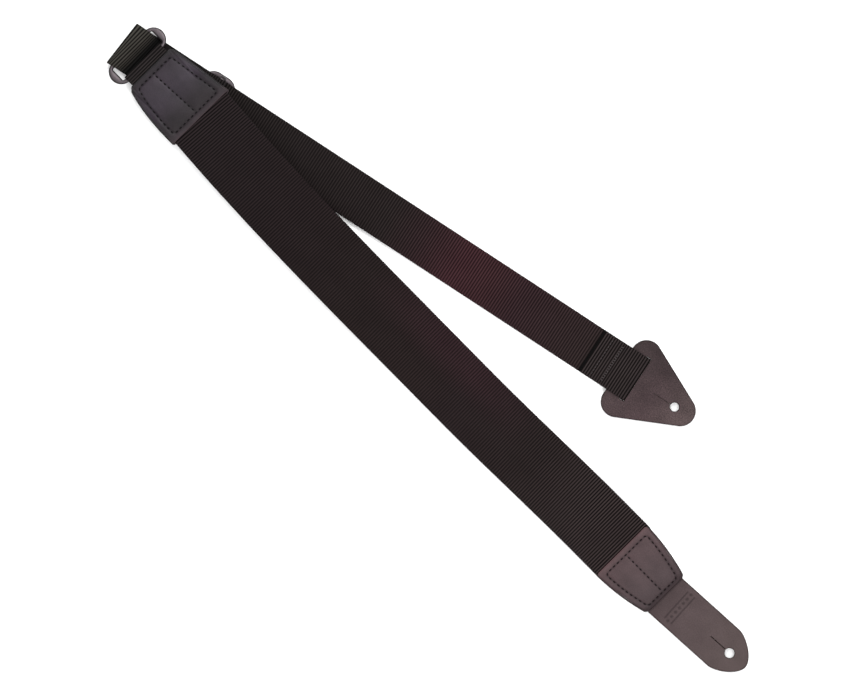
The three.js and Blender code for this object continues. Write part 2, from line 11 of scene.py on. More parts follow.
import bmesh
import bpy
import numpy as np
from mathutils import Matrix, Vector


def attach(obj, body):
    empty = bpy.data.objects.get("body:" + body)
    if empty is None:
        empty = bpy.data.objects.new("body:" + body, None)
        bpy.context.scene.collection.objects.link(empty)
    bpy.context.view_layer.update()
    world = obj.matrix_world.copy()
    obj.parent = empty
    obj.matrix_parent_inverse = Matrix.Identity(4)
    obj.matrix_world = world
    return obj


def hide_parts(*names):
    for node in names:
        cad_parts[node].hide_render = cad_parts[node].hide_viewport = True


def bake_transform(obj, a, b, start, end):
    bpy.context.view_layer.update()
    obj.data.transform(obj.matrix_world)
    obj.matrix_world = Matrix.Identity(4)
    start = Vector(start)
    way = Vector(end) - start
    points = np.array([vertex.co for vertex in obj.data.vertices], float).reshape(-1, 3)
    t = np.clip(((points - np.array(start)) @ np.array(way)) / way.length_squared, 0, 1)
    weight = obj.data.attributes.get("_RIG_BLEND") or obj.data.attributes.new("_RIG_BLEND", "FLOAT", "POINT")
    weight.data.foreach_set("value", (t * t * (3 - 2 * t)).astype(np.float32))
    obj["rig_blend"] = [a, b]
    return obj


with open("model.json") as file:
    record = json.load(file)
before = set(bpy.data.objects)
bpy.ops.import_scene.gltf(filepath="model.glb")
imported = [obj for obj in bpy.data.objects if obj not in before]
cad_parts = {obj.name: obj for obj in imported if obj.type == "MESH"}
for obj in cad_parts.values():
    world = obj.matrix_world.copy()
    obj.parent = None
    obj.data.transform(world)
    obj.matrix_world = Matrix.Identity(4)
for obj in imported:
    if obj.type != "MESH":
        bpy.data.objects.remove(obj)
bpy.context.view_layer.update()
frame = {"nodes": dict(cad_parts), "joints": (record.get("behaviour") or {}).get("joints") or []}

MM = 0.001

# ---- Driving dimensions, in millimetres ----

# Most are the CAD model's. The end tab's outline is up to 2.3 mm off the CAD's at its base, and the
# ring's and the glide's are up to 1.4 mm off. The zigzag seam has 16 turns, and 12 in the CAD model.

GAP = 0.3
WEB = {"width": 38.1, "thickness": 1.2}
PATCH_THICKNESS = 1.4
TAB_THICKNESS = 2.8
RIB_PITCH = 2.15
RIB_DEPTH = 0.2
SAMPLES_PER_RIB = 8

PAD = {"start": 57, "end": 553, "width": 56, "thickness": 5.5, "skin": 1.2, "hem": 0.8,
       "hem_width": 6, "corner": 2.2, "crown": 0.45, "end_narrowing": 0.11, "end_length": 12}
PAD_WAVE = {"height": 0.12, "along": 31, "across": 19, "slant": 90}
BOW = {"side": 5.9, "straight_from": 305, "length": 235, "back": 2.6, "start": 370, "end": 520}
LIFT = {"top": 10.3, "top_end": 225, "floor_start": 330, "floor_end": 455,
        "patch_start": 490, "patch": 1.7}

# A patch's seam_side and seam_end are how far its edge seam is from its sides and its far end,
# centre_seam is the centre seam's y at its two ends, and back_ends is how much further on its back
# piece starts and ends.
UPPER = {"start": 16, "end": 70.8, "back": 8.6, "front": 13.3, "step": 2.8, "low": -22.9, "high": 21,
         "seam_side": 5.5, "seam_end": 5, "centre_seam": (-2.3, -0.1), "back_ends": (1.5, 1)}
LOWER = {"start": 539.7, "end": 588.6, "back": GAP, "front": 4.8, "step": 2.7, "middle": -3.6,
         "seam_side": 4.8, "seam_end": 3.2, "centre_seam": (-3.6, -3.6), "back_ends": (-1, -0.5)}
UPPER_FLARE = {"low": 6.7, "power": 2.6, "high": 8.2, "length": 54}
LOWER_FLARE = {"half_width": 26.8, "drop": 7.2, "power": 1.9, "length": 49}
PATCH_CORNER = 2
SEAM = {"start": 5, "corner": 1.6, "centre_inset": 1.5, "pitch": 4.2}
SIDE_DROP = 2.7  # how much lower a front patch's sides start than its middle
PILLOW = {"height": 0.75, "reach": 5.5, "power": 1.4}
BORDER = {"height": 0.2, "from_seam": 2.6, "width": 1.3}
GROOVE = {"edge": 0.38, "centre": 0.32, "width": 0.8}

INNER_BAR = (10, -1.5, 8.4)
OUTER_BAR = (-6, -1.5, 6)
RING = {"length": 19.8, "width": 54.8, "bar": 3.8, "lobe": 6.1, "thickness": 2.6, "slot_corner": 0.8}
ANCHOR = {"wrap": 2.6, "lower": 10.9, "upper": 12.4, "end": 48}
LONG_Z = 2.7
SHORT_Z = 4.2
FOLD_SKEW = math.tan(math.radians(4.8))
SHORT_START = 15  # where the short leg's piece of webbing meets the fold's
SHORT_STRETCH_END = 64
SLIDE = 155  # the glide's longest travel
GLIDE = {"u": 72.9, "length": 28, "width": 45.2, "corner": 10, "plate": 1.8, "side_bar": 3.5, "lobe": 4.4}
GLIDE_BAR = {"length": 4.4, "thickness": 1.6, "bottom": 5.1, "post": 2.8}
TAIL = {"end": 429.7, "fold": 470.7, "rise": 446.5, "rise_end": 453.3}

BUTTON_TAB = {"width": 37.4, "tip": 16.5, "taper": 23, "bottom": 1.7, "root": -91, "flex": -60}
BUTTON_HOLE = {"radius": 3.85, "slit_end": -19.8}
END_TAB = {"bottom": 1.5, "base": -52.2, "base_corner": 12, "tip_corner": 12.1, "flex": -28, "v": -1.6,
           "side_angle": math.radians(25.2), "half_width_at_hole": 15.9}
END_HOLE = {"radius": 3.5, "slit_end": -19.4}
END_SLOT = {"start": -39.5, "end": -35.35, "width": 39.2}
BUTTON_SLIT = 0.34  # half the width of the button tab's slit at its top
END_SLIT = 0.16
ORNAMENT = {"p": -52.5, "half_width": 13.5, "rule": 3.4, "rule_width": 0.6, "dot_pitch": 4.5, "depth": 0.4}
LOOP_STITCHES = {"half_width": 16, "glide": -10.5, "row": 438.3, "zigzag": 447.6, "sway": 4, "turns": 16}

CAMERA = {"aim": (325, 0.3, 5), "framed_width": 670.3, "height": 6000, "sensor": 36, "turn": 45.38}
LIGHTS = [  # name, place, power, size
    ("key", (-1.1, 1.2, 1.9), 46, 1.3),
    ("fill", (1.6, -0.5, 1.7), 26, 1.5),
    ("back", (0.5, 1.9, 1.5), 18, 1.4),
    ("front", (-0.9, -1.7, 1.7), 20, 1.4),
    ("top", (0.1, 0.1, 2.6), 40, 2.2),
]

# ---- Frames ----

joints = {joint["name"]: joint for joint in frame["joints"]}


class Placer:
    """Puts millimetre points of one flat frame into the row frame, in metres."""

    def __init__(self, joint, local, angle):
        self.cos, self.sin = math.cos(angle), math.sin(angle)
        self.origin = np.array(joints[joint]["pos_m"]) - self.turn(np.array(local, float)) * MM

    def turn(self, points):
        x = points[..., 0] * self.cos - points[..., 1] * self.sin
        y = points[..., 0] * self.sin + points[..., 1] * self.cos
        return np.stack([x, y, points[..., 2]], -1)

    def __call__(self, points):
        return self.origin + self.turn(np.asarray(points, float)) * MM


def axis_angle(joint, across):
    """Angle of a joint's frame about Z, from its axis: along the frame, or across it."""
    x, y, _ = joints[joint]["axis"]
    return math.atan2(-x, y) if across else math.atan2(y, x)


STRAP_ANGLE = axis_angle("glide_slide", False)
TAB_ANGLE = axis_angle("button_tab_flex", True)
BAR_SKEW = math.tan(STRAP_ANGLE)

on_pad = Placer("ring_swivel", INNER_BAR, 0)
on_strap = Placer("strap_unfold", (0, 0, OUTER_BAR[2]), STRAP_ANGLE)


def flex_line(tab, past=0):
    """A point on a leather tab's flex line, or past it, halfway through the leather."""
    return [tab["flex"] + past, 0, tab["bottom"] + TAB_THICKNESS / 2]


on_tab = Placer("button_tab_flex", flex_line(BUTTON_TAB), TAB_ANGLE)
on_end = Placer("end_tab_flex", flex_line(END_TAB), STRAP_ANGLE)

# ---- Numbers ----


def smoothstep(value, start, end):
    t = np.clip((np.asarray(value, float) - start) / (end - start), 0, 1)
    return t * t * (3 - 2 * t)


def lerp(a, b, t):
    return a + (b - a) * t


def arc(cx, cz, radius, first, last, count):
    """Points (x, z) of an arc, angles in degrees from +X towards +Z."""
    angles = np.radians(np.linspace(first, last, count))
    return [(cx + radius * math.cos(a), cz + radius * math.sin(a)) for a in angles]


def spline(points, per_span=24):
    """A centripetal Catmull-Rom curve through the points, sampled densely."""
    p = np.array(points, float)
    p = np.vstack([2 * p[0] - p[1], p, 2 * p[-1] - p[-2]])
    made = []
    for i in range(1, len(p) - 2):
        knots = [0]
        for a, b in zip(p[i - 1:i + 2], p[i:i + 3]):
            knots.append(knots[-1] + max(np.linalg.norm(b - a), 1e-6) ** 0.5)
        t0, t1, t2, t3 = knots
        t = np.linspace(t1, t2, per_span, endpoint=False)[:, None]
        a1 = (t1 - t) / (t1 - t0) * p[i - 1] + (t - t0) / (t1 - t0) * p[i]
        a2 = (t2 - t) / (t2 - t1) * p[i] + (t - t1) / (t2 - t1) * p[i + 1]
        a3 = (t3 - t) / (t3 - t2) * p[i + 1] + (t - t2) / (t3 - t2) * p[i + 2]
        b1 = (t2 - t) / (t2 - t0) * a1 + (t - t0) / (t2 - t0) * a2
        b2 = (t3 - t) / (t3 - t1) * a2 + (t - t1) / (t3 - t1) * a3
        made.append((t2 - t) / (t2 - t1) * b1 + (t - t1) / (t2 - t1) * b2)
    made.append(p[-2][None])
    return np.vstack(made)


def travelled(points):
    """Distance along a polyline at each of its points."""
    steps = np.linalg.norm(np.diff(points, axis=0), axis=1)
    return np.concatenate([[0], np.cumsum(steps)])


def directions(points):
    """The unit direction of travel at each point of a polyline."""
    steps = np.gradient(points, axis=0)
    return steps / np.linalg.norm(steps, axis=1)[:, None]


def superellipse(count, power):
    """The sides and heights, from -1 to 1, of a rounded square loop."""
    angles = np.linspace(0, 2 * np.pi, count, endpoint=False)
    return [np.sign(wave) * np.abs(wave) ** power for wave in (np.cos(angles), np.sin(angles))]


def grid(along, around):
    return np.stack(np.meshgrid(along, around, indexing="ij"), -1)


def resample(values, at, wanted):
    return np.stack([np.interp(wanted, at, column) for column in values.T], -1)


def distance_to(line, points):
    """Distance of each 2-D point to a polyline."""
    a, b = line[:-1], line[1:]
    d = b - a
    best = np.full(points.shape[:-1], 1e9)
    for start, step in zip(a, d):
        length = max(step @ step, 1e-12)
        t = np.clip(((points - start) @ step) / length, 0, 1)
        best = np.minimum(best, np.linalg.norm(points - start - t[..., None] * step, axis=-1))
    return best


# ---- Meshes ----


def make_piece(name, points, faces, uvs, attributes=None):
    """A smooth-shaded mesh object. uvs holds one pair, in millimetres, for each face corner."""
    mesh = bpy.data.meshes.new(name)
    mesh.from_pydata(points.reshape(-1, 3).tolist(), [], faces)
    layer = mesh.uv_layers.new(name="UVMap")
    layer.data.foreach_set("uv", np.asarray(uvs, np.float32).ravel())
    for key, values in (attributes or {}).items():
        stored = mesh.attributes.new(key, "FLOAT", "POINT")
        stored.data.foreach_set("value", np.asarray(values, np.float32).ravel())
    tidy = bmesh.new()
    tidy.from_mesh(mesh)
    bmesh.ops.recalc_face_normals(tidy, faces=tidy.faces)
    tidy.to_mesh(mesh)
    tidy.free()
    mesh.polygons.foreach_set("use_smooth", [True] * len(mesh.polygons))
    piece = bpy.data.objects.new(name, mesh)
    bpy.context.scene.collection.objects.link(piece)
    return piece


def loft_corners(rows, columns, closed):
    """The (row, column) corners of the quads between rows of closed loops."""
    i = np.arange(rows if closed else rows - 1)[:, None]
    j = np.arange(columns)[None]
    corners = [np.broadcast_arrays(a, b) for a, b in ((i, j), (i + 1, j), (i + 1, j + 1), (i, j + 1))]
    return np.array(corners).reshape(4, 2, -1).transpose(2, 0, 1)


class Shape:
    """A mesh in the making: one or more lofted bodies."""

    def __init__(self):
        self.points, self.faces, self.uvs, self.attributes = [], [], [], {}
        self.count = 0

    def loft(self, loops, uv, attributes=None, closed=False):
        """Adds a body through a row of closed loops: (rows, columns, 3) in metres. uv has one
        more column than loops, and one more row if the rows close on themselves as well."""
        rows, columns = loops.shape[:2]
        corners = loft_corners(rows, columns, closed)
        quads = corners[..., 0] % rows * columns + corners[..., 1] % columns + self.count
        self.faces += quads.tolist()
        self.uvs.append(uv[corners[..., 0], corners[..., 1]].reshape(-1, 2))
        if not closed:
            self.faces.append(list(range(self.count, self.count + columns)))
            self.faces.append(list(range(self.count + (rows - 1) * columns, self.count + rows * columns)))
            self.uvs += [uv[0, :columns], uv[-1, :columns]]
        self.points.append(loops.reshape(-1, 3))
        self.count += rows * columns
        for key, values in (attributes or {}).items():
            self.attributes[key] = values
        return self

    def make(self, name):
        return make_piece(name, np.vstack(self.points), self.faces, np.vstack(self.uvs), self.attributes)


def loft(name, place, loops, along, around):
    """A piece from one row of closed loops in mm, with along and around as its UVs."""
    return Shape().loft(place(loops), grid(along, around)).make(name)


def dress(piece, slot, surface, nodes):
    """Gives a piece the material named by its surface, or else by its slot, and hides the CAD nodes it
    stands for.
    """
    piece.data.materials.append(materials[surface or slot])
    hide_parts(*nodes)


def finish_piece(piece, slot, body, *nodes, surface=None):
    dress(piece, slot, surface, nodes)
    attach(piece, body)


def finish_blend(piece, slot, before, after, start, end, *nodes, surface=None):
    """For a piece that bends between two bodies."""
    dress(piece, slot, surface, nodes)
    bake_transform(piece, before, after, start=start, end=end)


def rib_dip(distance):
    """How far the surface of ribbed weave lies below its rib tops: round ribs, narrow valleys."""
    across = 2 * np.mod(distance / RIB_PITCH, 1) - 1
    return RIB_DEPTH * (1 - np.sqrt(np.maximum(0, 1 - np.abs(across) ** 2.4)))


def webbing(name, place, path, distance, widening=0, uv_start=0):
    """Ribbed webbing. path has rows of (u, skew, z) on the middle plane, distance says where each
    row is along the weave, and widening is how much further out each row's edges are."""
    width, thickness, columns = WEB["width"], WEB["thickness"], 15
    half, radius = width / 2, thickness / 2
    flat = np.linspace(radius - half, half - radius, columns)
    bend = np.radians([60, 20, -20, -60])
    side = np.concatenate([flat, half - radius + radius * np.cos(bend),
                           flat[::-1], radius - half - radius * np.cos(bend)])
    lift = np.concatenate([np.full(columns, radius), radius * np.sin(bend),
                           np.full(columns, -radius), -radius * np.sin(bend)])
    out_side = np.concatenate([np.zeros(columns), np.cos(bend), np.zeros(columns), -np.cos(bend)])
    out_lift = np.concatenate([np.ones(columns), np.sin(bend), -np.ones(columns), -np.sin(bend)])
    tangent = directions(path[:, [0, 2]])
    dip = rib_dip(distance)[:, None]
    side = side[None] * (1 + np.broadcast_to(widening, len(path))[:, None] / half) - dip * out_side[None]
    lift = lift[None] - dip * out_lift[None]
    loops = np.stack([path[:, 0, None] + side * path[:, 1, None] - lift * tangent[:, 1, None],
                      side + np.zeros_like(dip),
                      path[:, 2, None] + lift * tangent[:, 0, None]], -1)
    around = np.concatenate([side[0], [side[0, 0] + 2 * width]])
    around[columns + 4:] = 2 * width - around[columns + 4:]
    return loft(name, place, loops, distance + uv_start, around)


def rows_for(length):
    """Where the rows of a ribbed piece are along it."""
    return np.arange(0, length, RIB_PITCH / SAMPLES_PER_RIB)


# ---- Pad ----


def bow(x):
    towards_ring = np.maximum(0, (BOW["straight_from"] - x) / BOW["length"])
    return BOW["side"] * (towards_ring ** 3 - 1) + BOW["back"] * smoothstep(x, BOW["start"], BOW["end"])


def pad_base(x):
    lowered = LIFT["top"] * (1 - smoothstep(x, LIFT["top_end"], LIFT["floor_start"]))
    return lowered + LIFT["patch"] * smoothstep(x, LIFT["floor_end"], LIFT["patch_start"])


def pad_narrowing(x):
    """The pad's width, as a share, where it goes in between the patches."""
    inside = np.minimum(x - PAD["start"], PAD["end"] - x)
    return 1 - PAD["end_narrowing"] * (1 - smoothstep(inside, 0, PAD["end_length"]))


def pad_sweep(name, section, outward, x, around):
    """Sweeps a section (y, height) along the bowed pad. outward has each point's rib direction,
    which is zero on plain fabric."""
    slope = (bow(x + 0.5) - bow(x - 0.5))[:, None]
    dip = rib_dip(x)[:, None]
    y = section[None, :, 0] * pad_narrowing(x)[:, None] - dip * outward[None, :, 0]
    height = section[None, :, 1] - dip * outward[None, :, 1]
    wave = (PAD_WAVE["height"] * np.sin(x / PAD_WAVE["along"])[:, None]
            * np.cos(y / PAD_WAVE["across"] + x[:, None] / PAD_WAVE["slant"]))
    height = height + wave * (outward[None, :, 1] > 0.5)
    loops = np.stack([x[:, None] - y * slope, bow(x)[:, None] + y, pad_base(x)[:, None] + height], -1)
    return loft(name, on_pad, loops, x, around)


def arc_points(cx, cy, radius, first, last, count=6):
    return np.array(arc(cx, cy, radius, first, last, count))


def cover_section():
    """The cover's section: outside from one turned-under hem over the top to the other, then back
    inside. Returns the points and their rib directions."""
    half, top, corner = PAD["width"] / 2, PAD["thickness"], PAD["corner"]
    inner = corner - PAD["skin"]
    lip = half - PAD["hem_width"]
    y = np.linspace(half - corner, corner - half, 23)[1:-1]
    crowned = np.stack([y, top + PAD["crown"] * (1 - (y / (half - corner)) ** 2) ** 0.8], -1)
    hem = np.linspace(lip, half - corner, 3)[:-1]
    right = np.vstack([np.stack([hem, np.zeros(2)], -1),
                       arc_points(half - corner, corner, corner, -90, 0),
                       arc_points(half - corner, top - corner, corner, 0, 90)])
    outside = np.vstack([right, crowned, right[::-1] * [-1, 1]])
    under = np.linspace(half - corner, corner - half, 5)[1:-1]
    inside_right = np.vstack([[[lip, PAD["hem"]]],
                              arc_points(half - corner, PAD["hem"] + inner, inner, -90, 0, 4),
                              arc_points(half - corner, top - corner, inner, 0, 90, 4)])
    inside = np.vstack([inside_right * [-1, 1],
                        np.stack([under[::-1], np.full(3, top - PAD["skin"])], -1),
                        inside_right[::-1]])
    outward = directions(outside)[:, ::-1] * [1, -1]
    return np.vstack([outside, inside]), np.vstack([outward, np.zeros_like(inside)])


def build_pad():
    x = PAD["start"] + rows_for(PAD["end"] - PAD["start"])
    section, outward = cover_section()
    around = travelled(np.vstack([section, section[:1]]))
    cover = pad_sweep("pad_cover", section, outward, x, around)
    finish_piece(cover, "ribbed_fabric", "pad", "pad_face")

    half = PAD["width"] / 2 - PAD["hem_width"] - GAP
    across = np.linspace(-half, half, 25)
    section = np.vstack([np.stack([across, np.zeros(25)], -1),
                         np.stack([across[::-1], np.full(25, PAD["hem"])], -1)])
    x = np.linspace(PAD["start"], PAD["end"], 400)
    around = travelled(np.vstack([section, section[:1]]))
    lining = pad_sweep("pad_lining", section, np.zeros_like(section), x, around)
    finish_piece(lining, "lining", "pad", "pad_backing")


# ---- Leather ----


def ripple(p, q, height):
    """The slow unevenness of a cut piece of leather."""
    return height * (np.sin(p / 7.3 + 0.6) * np.cos(q / 5.9 + 1.1) + 0.6 * np.sin(q / 11 - p / 13))


def leather_sheet(name, place, rows, low, high, bottom, thickness, edge, columns=110, relief=None):
    """A piece of leather with round edges. rows are its stations along p, low and high its sides
    at each, bottom(p, q) its underside and relief(p, q) what its front face adds."""
    s = 0.5 - 0.5 * np.cos(np.pi * np.linspace(0, 1, columns))
    p = np.broadcast_to(rows[:, None], (len(rows), columns))
    q = lerp(low[:, None], high[:, None], s[None])
    outline = np.vstack([np.stack([rows, low], -1), np.stack([rows, high], -1)[::-1]])
    outline = np.vstack([outline, outline[:1]])
    margin = distance_to(outline, np.stack([p, q], -1))
    round_off = edge - np.sqrt(np.maximum(0, edge ** 2 - np.maximum(0, edge - margin) ** 2))
    base = bottom(p, q)
    top = base + thickness - round_off + ripple(p, q, 0.05)
    added = relief(p, q) if relief else 0 * p
    top = top + added
    shape = Shape()
    loops = np.concatenate([np.stack([p, q, top], -1),
                            np.stack([p, q, base + round_off], -1)[:, ::-1]], 1)
    around = np.concatenate([q, q[:, ::-1], q[:, :1]], 1)
    uv = np.stack([np.broadcast_to(rows[:, None], around.shape), around], -1)
    rim = 1 - smoothstep(margin, 0.2, 1.3)
    under = np.ones_like(rim)
    # pressed marks where the front face is sunk, which the leather material darkens as painted shade.
    shape.loft(place(loops), uv, attributes={
        "rim": np.concatenate([rim, rim[:, ::-1]], 1),
        "under": np.concatenate([0 * under, under], 1),
        "pressed": np.concatenate([np.clip(-added / 0.4, 0, 1), 0 * under], 1)})
    return shape.make(name)


def corner_inset(distance):
    inside = np.maximum(0, PATCH_CORNER - np.maximum(0, distance))
    return PATCH_CORNER - np.sqrt(PATCH_CORNER ** 2 - inside ** 2)


def upper_low(x):
    narrowing = np.maximum(0, (UPPER["start"] + UPPER_FLARE["length"] - x) / UPPER_FLARE["length"])
    return UPPER["low"] - UPPER_FLARE["low"] * (1 - narrowing ** UPPER_FLARE["power"])


def upper_high(x):
    return UPPER["high"] + UPPER_FLARE["high"] * (x - UPPER["start"]) / UPPER_FLARE["length"]


def lower_half(x):
    narrowing = np.maximum(0, (x - LOWER["start"]) / LOWER_FLARE["length"])
    return LOWER_FLARE["half_width"] - LOWER_FLARE["drop"] * narrowing ** LOWER_FLARE["power"]


def lower_low(x):
    return LOWER["middle"] - lower_half(x)


def lower_high(x):
    return LOWER["middle"] + lower_half(x)


def front_underside(patch, middle, side, beside):
    """Height of a front patch's underside. It rises over the pad's end, gently in the middle and
    steeply at the sides, which start lower, beside the webbing or the tab."""
    side_rise = (patch["step"] + SIDE_DROP) * side - SIDE_DROP
    return patch["front"] + lerp(patch["step"] * middle, side_rise, beside)


def upper_front(x, y):
    beside = smoothstep(np.abs(y - OUTER_BAR[1]), WEB["width"] / 2 + 0.3, WEB["width"] / 2 + 3.2)
    middle = smoothstep(x, PAD["start"] - 29, PAD["start"] - 1)
    side = smoothstep(x, PAD["start"] - 24, PAD["start"] - 2)
    return front_underside(UPPER, middle, side, beside)


def lower_front(x, y):
    beside = smoothstep(np.abs(y - LOWER["middle"]), BUTTON_TAB["width"] / 2 + 3.9,
                        BUTTON_TAB["width"] / 2 + 6.5)
    middle = 1 - smoothstep(x, PAD["end"], PAD["end"] + 29)
    side = 1 - smoothstep(x, PAD["end"] + 1, PAD["end"] + 22)
    return front_underside(LOWER, middle, side, beside)


class Patch:
    """One end's pair of leather patches, with the seams that hold them together."""

    def __init__(self, name, size, low, high, front, surface, thread):
        self.name, self.size, self.surface, self.thread = name, size, surface, thread
        self.low, self.high, self.front = low, high, front
        self.seam_start, self.seam_end = size["start"] + SEAM["start"], size["end"] - size["seam_end"]
        self.side = size["seam_side"]
        self.edge_line = self.round_seam(SEAM["corner"])
        ends = [self.seam_start + SEAM["centre_inset"], self.seam_end - SEAM["centre_inset"]]
        x = np.linspace(*ends, 24)
        self.centre_line = np.stack([x, np.interp(x, ends, size["centre_seam"])], -1)

    def round_seam(self, corner):
        x = np.linspace(self.seam_start + corner, self.seam_end - corner, 30)
        high = np.stack([x, self.high(x) - self.side], -1)
        low = np.stack([x, self.low(x) + self.side], -1)[::-1]
        ends = [[[at, self.high(at) - self.side - corner], [at, self.low(at) + self.side + corner]]
                for at in (self.seam_end, self.seam_start)]
        return np.vstack([high, ends[0], low, ends[1][::-1], high[:1]])

    def relief(self, x, y):
        """Pillows between the seams, which lie in grooves."""
        points = np.stack([x, y], -1)
        to_edge = distance_to(self.edge_line, points)
        to_centre = distance_to(self.centre_line, points)
        inside = ((x > self.seam_start) & (x < self.seam_end)
                  & (y > self.low(x) + self.side) & (y < self.high(x) - self.side))
        nearest = np.where(inside, np.minimum(to_edge, to_centre), 0)
        pillow = PILLOW["height"] * (1 - np.exp(-(nearest / PILLOW["reach"]) ** PILLOW["power"]))
        raised = BORDER["height"] * np.exp(-((to_edge - BORDER["from_seam"]) / BORDER["width"]) ** 2)
        groove = (GROOVE["edge"] * np.exp(-(to_edge / GROOVE["width"]) ** 2)
                  + GROOVE["centre"] * np.exp(-(to_centre / GROOVE["width"]) ** 2))
        return pillow + np.where(inside, 0, raised) - groove

    def top(self, x, y):
        return self.front(x, y) + PATCH_THICKNESS + self.relief(x, y)

    def sheet(self, name, start, end, spread, bottom, relief=None):
        rows = (start + end) / 2 - (end - start) / 2 * np.cos(np.pi * np.linspace(0, 1, 130))
        inset = corner_inset(np.minimum(rows - start, end - rows)) - spread
        low, high = self.low(rows) + inset, self.high(rows) - inset
        return leather_sheet(name, on_pad, rows, low, high, bottom, PATCH_THICKNESS, 0.55, relief=relief)

    def build(self):
        start, end = self.size["start"], self.size["end"]
        under = lambda x, y: self.size["back"] + 0 * x
        front = self.sheet(self.name + "_patch_leather", start, end, 0, self.front, self.relief)
        finish_piece(front, "patch_leather", "pad", self.name + "_patch_front", surface=self.surface)
        start, end = start + self.size["back_ends"][0], end + self.size["back_ends"][1]
        back = self.sheet(self.name + "_patch_underside", start, end, 1, under)
        finish_piece(back, "patch_leather", "pad", self.name + "_patch_back", surface=self.surface)
        for seam, line in (("edge", self.edge_line), ("centre", self.centre_line)):
            sewn = Shape()
            add_stitches(sewn, on_pad, line, self.top, 1, SEAM["pitch"])
            add_stitches(sewn, on_pad, line, under, -1, SEAM["pitch"], lift=0.3, sink=0.45)
            piece = sewn.make(f"{self.name}_{seam}_stitches")
            finish_piece(piece, "thread", "pad", f"{self.name}_{seam}_thread", surface=self.thread)


def build_patches():
    Patch("upper", UPPER, upper_low, upper_high, upper_front, "patch_leather", "thread").build()
    Patch("lower", LOWER, lower_low, lower_high, lower_front, "lower_patch_leather", "lower_thread").build()


def add_stitches(shape, place, line, height, face, pitch, gap=1.6, radius=0.55, lift=0.45, sink=0.2):
    """Separate stitches along a polyline. height(x, y) is the surface they lie on, and face is 1
    on top of it and -1 under it."""
    at = travelled(line)
    count = max(1, round(at[-1] / pitch))
    step = at[-1] / count
    t = np.linspace(0, 1, 9)
    turn = np.radians(np.arange(0, 360, 45))
    swell = np.sin(np.pi * np.clip(t, 0.02, 0.98)) ** 0.4
    for i in range(count):
        along = i * step + gap / 2 + (step - gap) * t
        flat = resample(line, at, along)
        rise = face * (lift * np.sin(np.pi * t) ** 0.6 - sink)
        middle = np.column_stack([flat, height(flat[:, 0], flat[:, 1]) + rise])
        forward = directions(flat)
        sideways = np.stack([-forward[:, 1], forward[:, 0], 0 * t], -1)
        loops = (middle[:, None]
                 + (radius * swell)[:, None, None] * (np.cos(turn)[None, :, None] * sideways[:, None]
                                                      + np.sin(turn)[None, :, None] * [0, 0, 0.8]))
        around = np.linspace(0, 2 * np.pi * radius, len(turn) + 1)
        shape.loft(place(loops), grid(along, around))


# ---- Cutting holes ----


def keep_result(piece):
    """Applies a piece's modifiers to its mesh."""
    bpy.context.view_layer.update()
    evaluated = piece.evaluated_get(bpy.context.evaluated_depsgraph_get())
    mesh = bpy.data.meshes.new_from_object(evaluated)
    piece.modifiers.clear()
    old, piece.data = piece.data, mesh
    bpy.data.meshes.remove(old)
    mesh.name = piece.name


def combine(piece, other, operation):
    modifier = piece.modifiers.new("combine", "BOOLEAN")
    modifier.operation, modifier.solver, modifier.object = operation, "EXACT", other
    keep_result(piece)
    bpy.data.objects.remove(other)


def sharpen_cuts(piece):
    piece.data.set_sharp_from_angle(angle=math.radians(38))


def cutter(place, outlines, heights):
    """A cutter through a sheet, with an outline (p, q) at each height."""
    loops = np.stack([np.column_stack([outline, np.full(len(outline), z)])
                      for outline, z in zip(outlines, heights)])
    return loft("cutter", place, loops, heights, np.arange(loops.shape[1] + 1))


def flared_cutter(place, outline, bottom, flare=0.45):
    """A cutter that is wider near the leather's two faces, so that the cut has soft edges. outline
    gives the loop's points for how far it stands out from the plain cut."""
    heights = np.array([-1, 0, 0.35, 0.9, TAB_THICKNESS / 2])
    spread = flare * np.array([1.6, 1, 0.35, 0, 0])
    heights = np.concatenate([bottom + heights, bottom + TAB_THICKNESS - heights[-2::-1]])
    return cutter(place, [outline(s) for s in (*spread, *spread[-2::-1])], heights)


def circle(radius):
    angles = np.linspace(0, 2 * np.pi, 64, endpoint=False)
    return lambda spread: np.stack([np.cos(angles), np.sin(angles)], -1) * (radius + spread)


def slot_outline(start, end, middle, half):
    def outline(spread):
        corner = min(0.3, half * 0.8)
        flat = rounded_rectangle((end - start) / 2 + spread, half + spread, corner + spread, 5, 4)
        return flat + [(start + end) / 2, middle]
    return outline


def slit_cutter(place, start, end, bottom, half):
    """A cutter for a knife slit, open at the front face and all but closed at the back."""
    heights = bottom + np.array([-0.5, 0.1, TAB_THICKNESS * 0.6, TAB_THICKNESS - 0.2, TAB_THICKNESS + 0.5])
    halves = half * np.array([0.08, 0.08, 0.5, 1, 1.2])
    return cutter(place, [slot_outline(start, end, 0, width)(0) for width in halves], heights)


def keyhole_cuts(piece, place, bottom, radius, slit_end, slit):
    combine(piece, slit_cutter(place, slit_end, 0.4 - radius, bottom, slit), "DIFFERENCE")
    combine(piece, flared_cutter(place, circle(radius), bottom), "DIFFERENCE")


# ---- Leather tabs ----


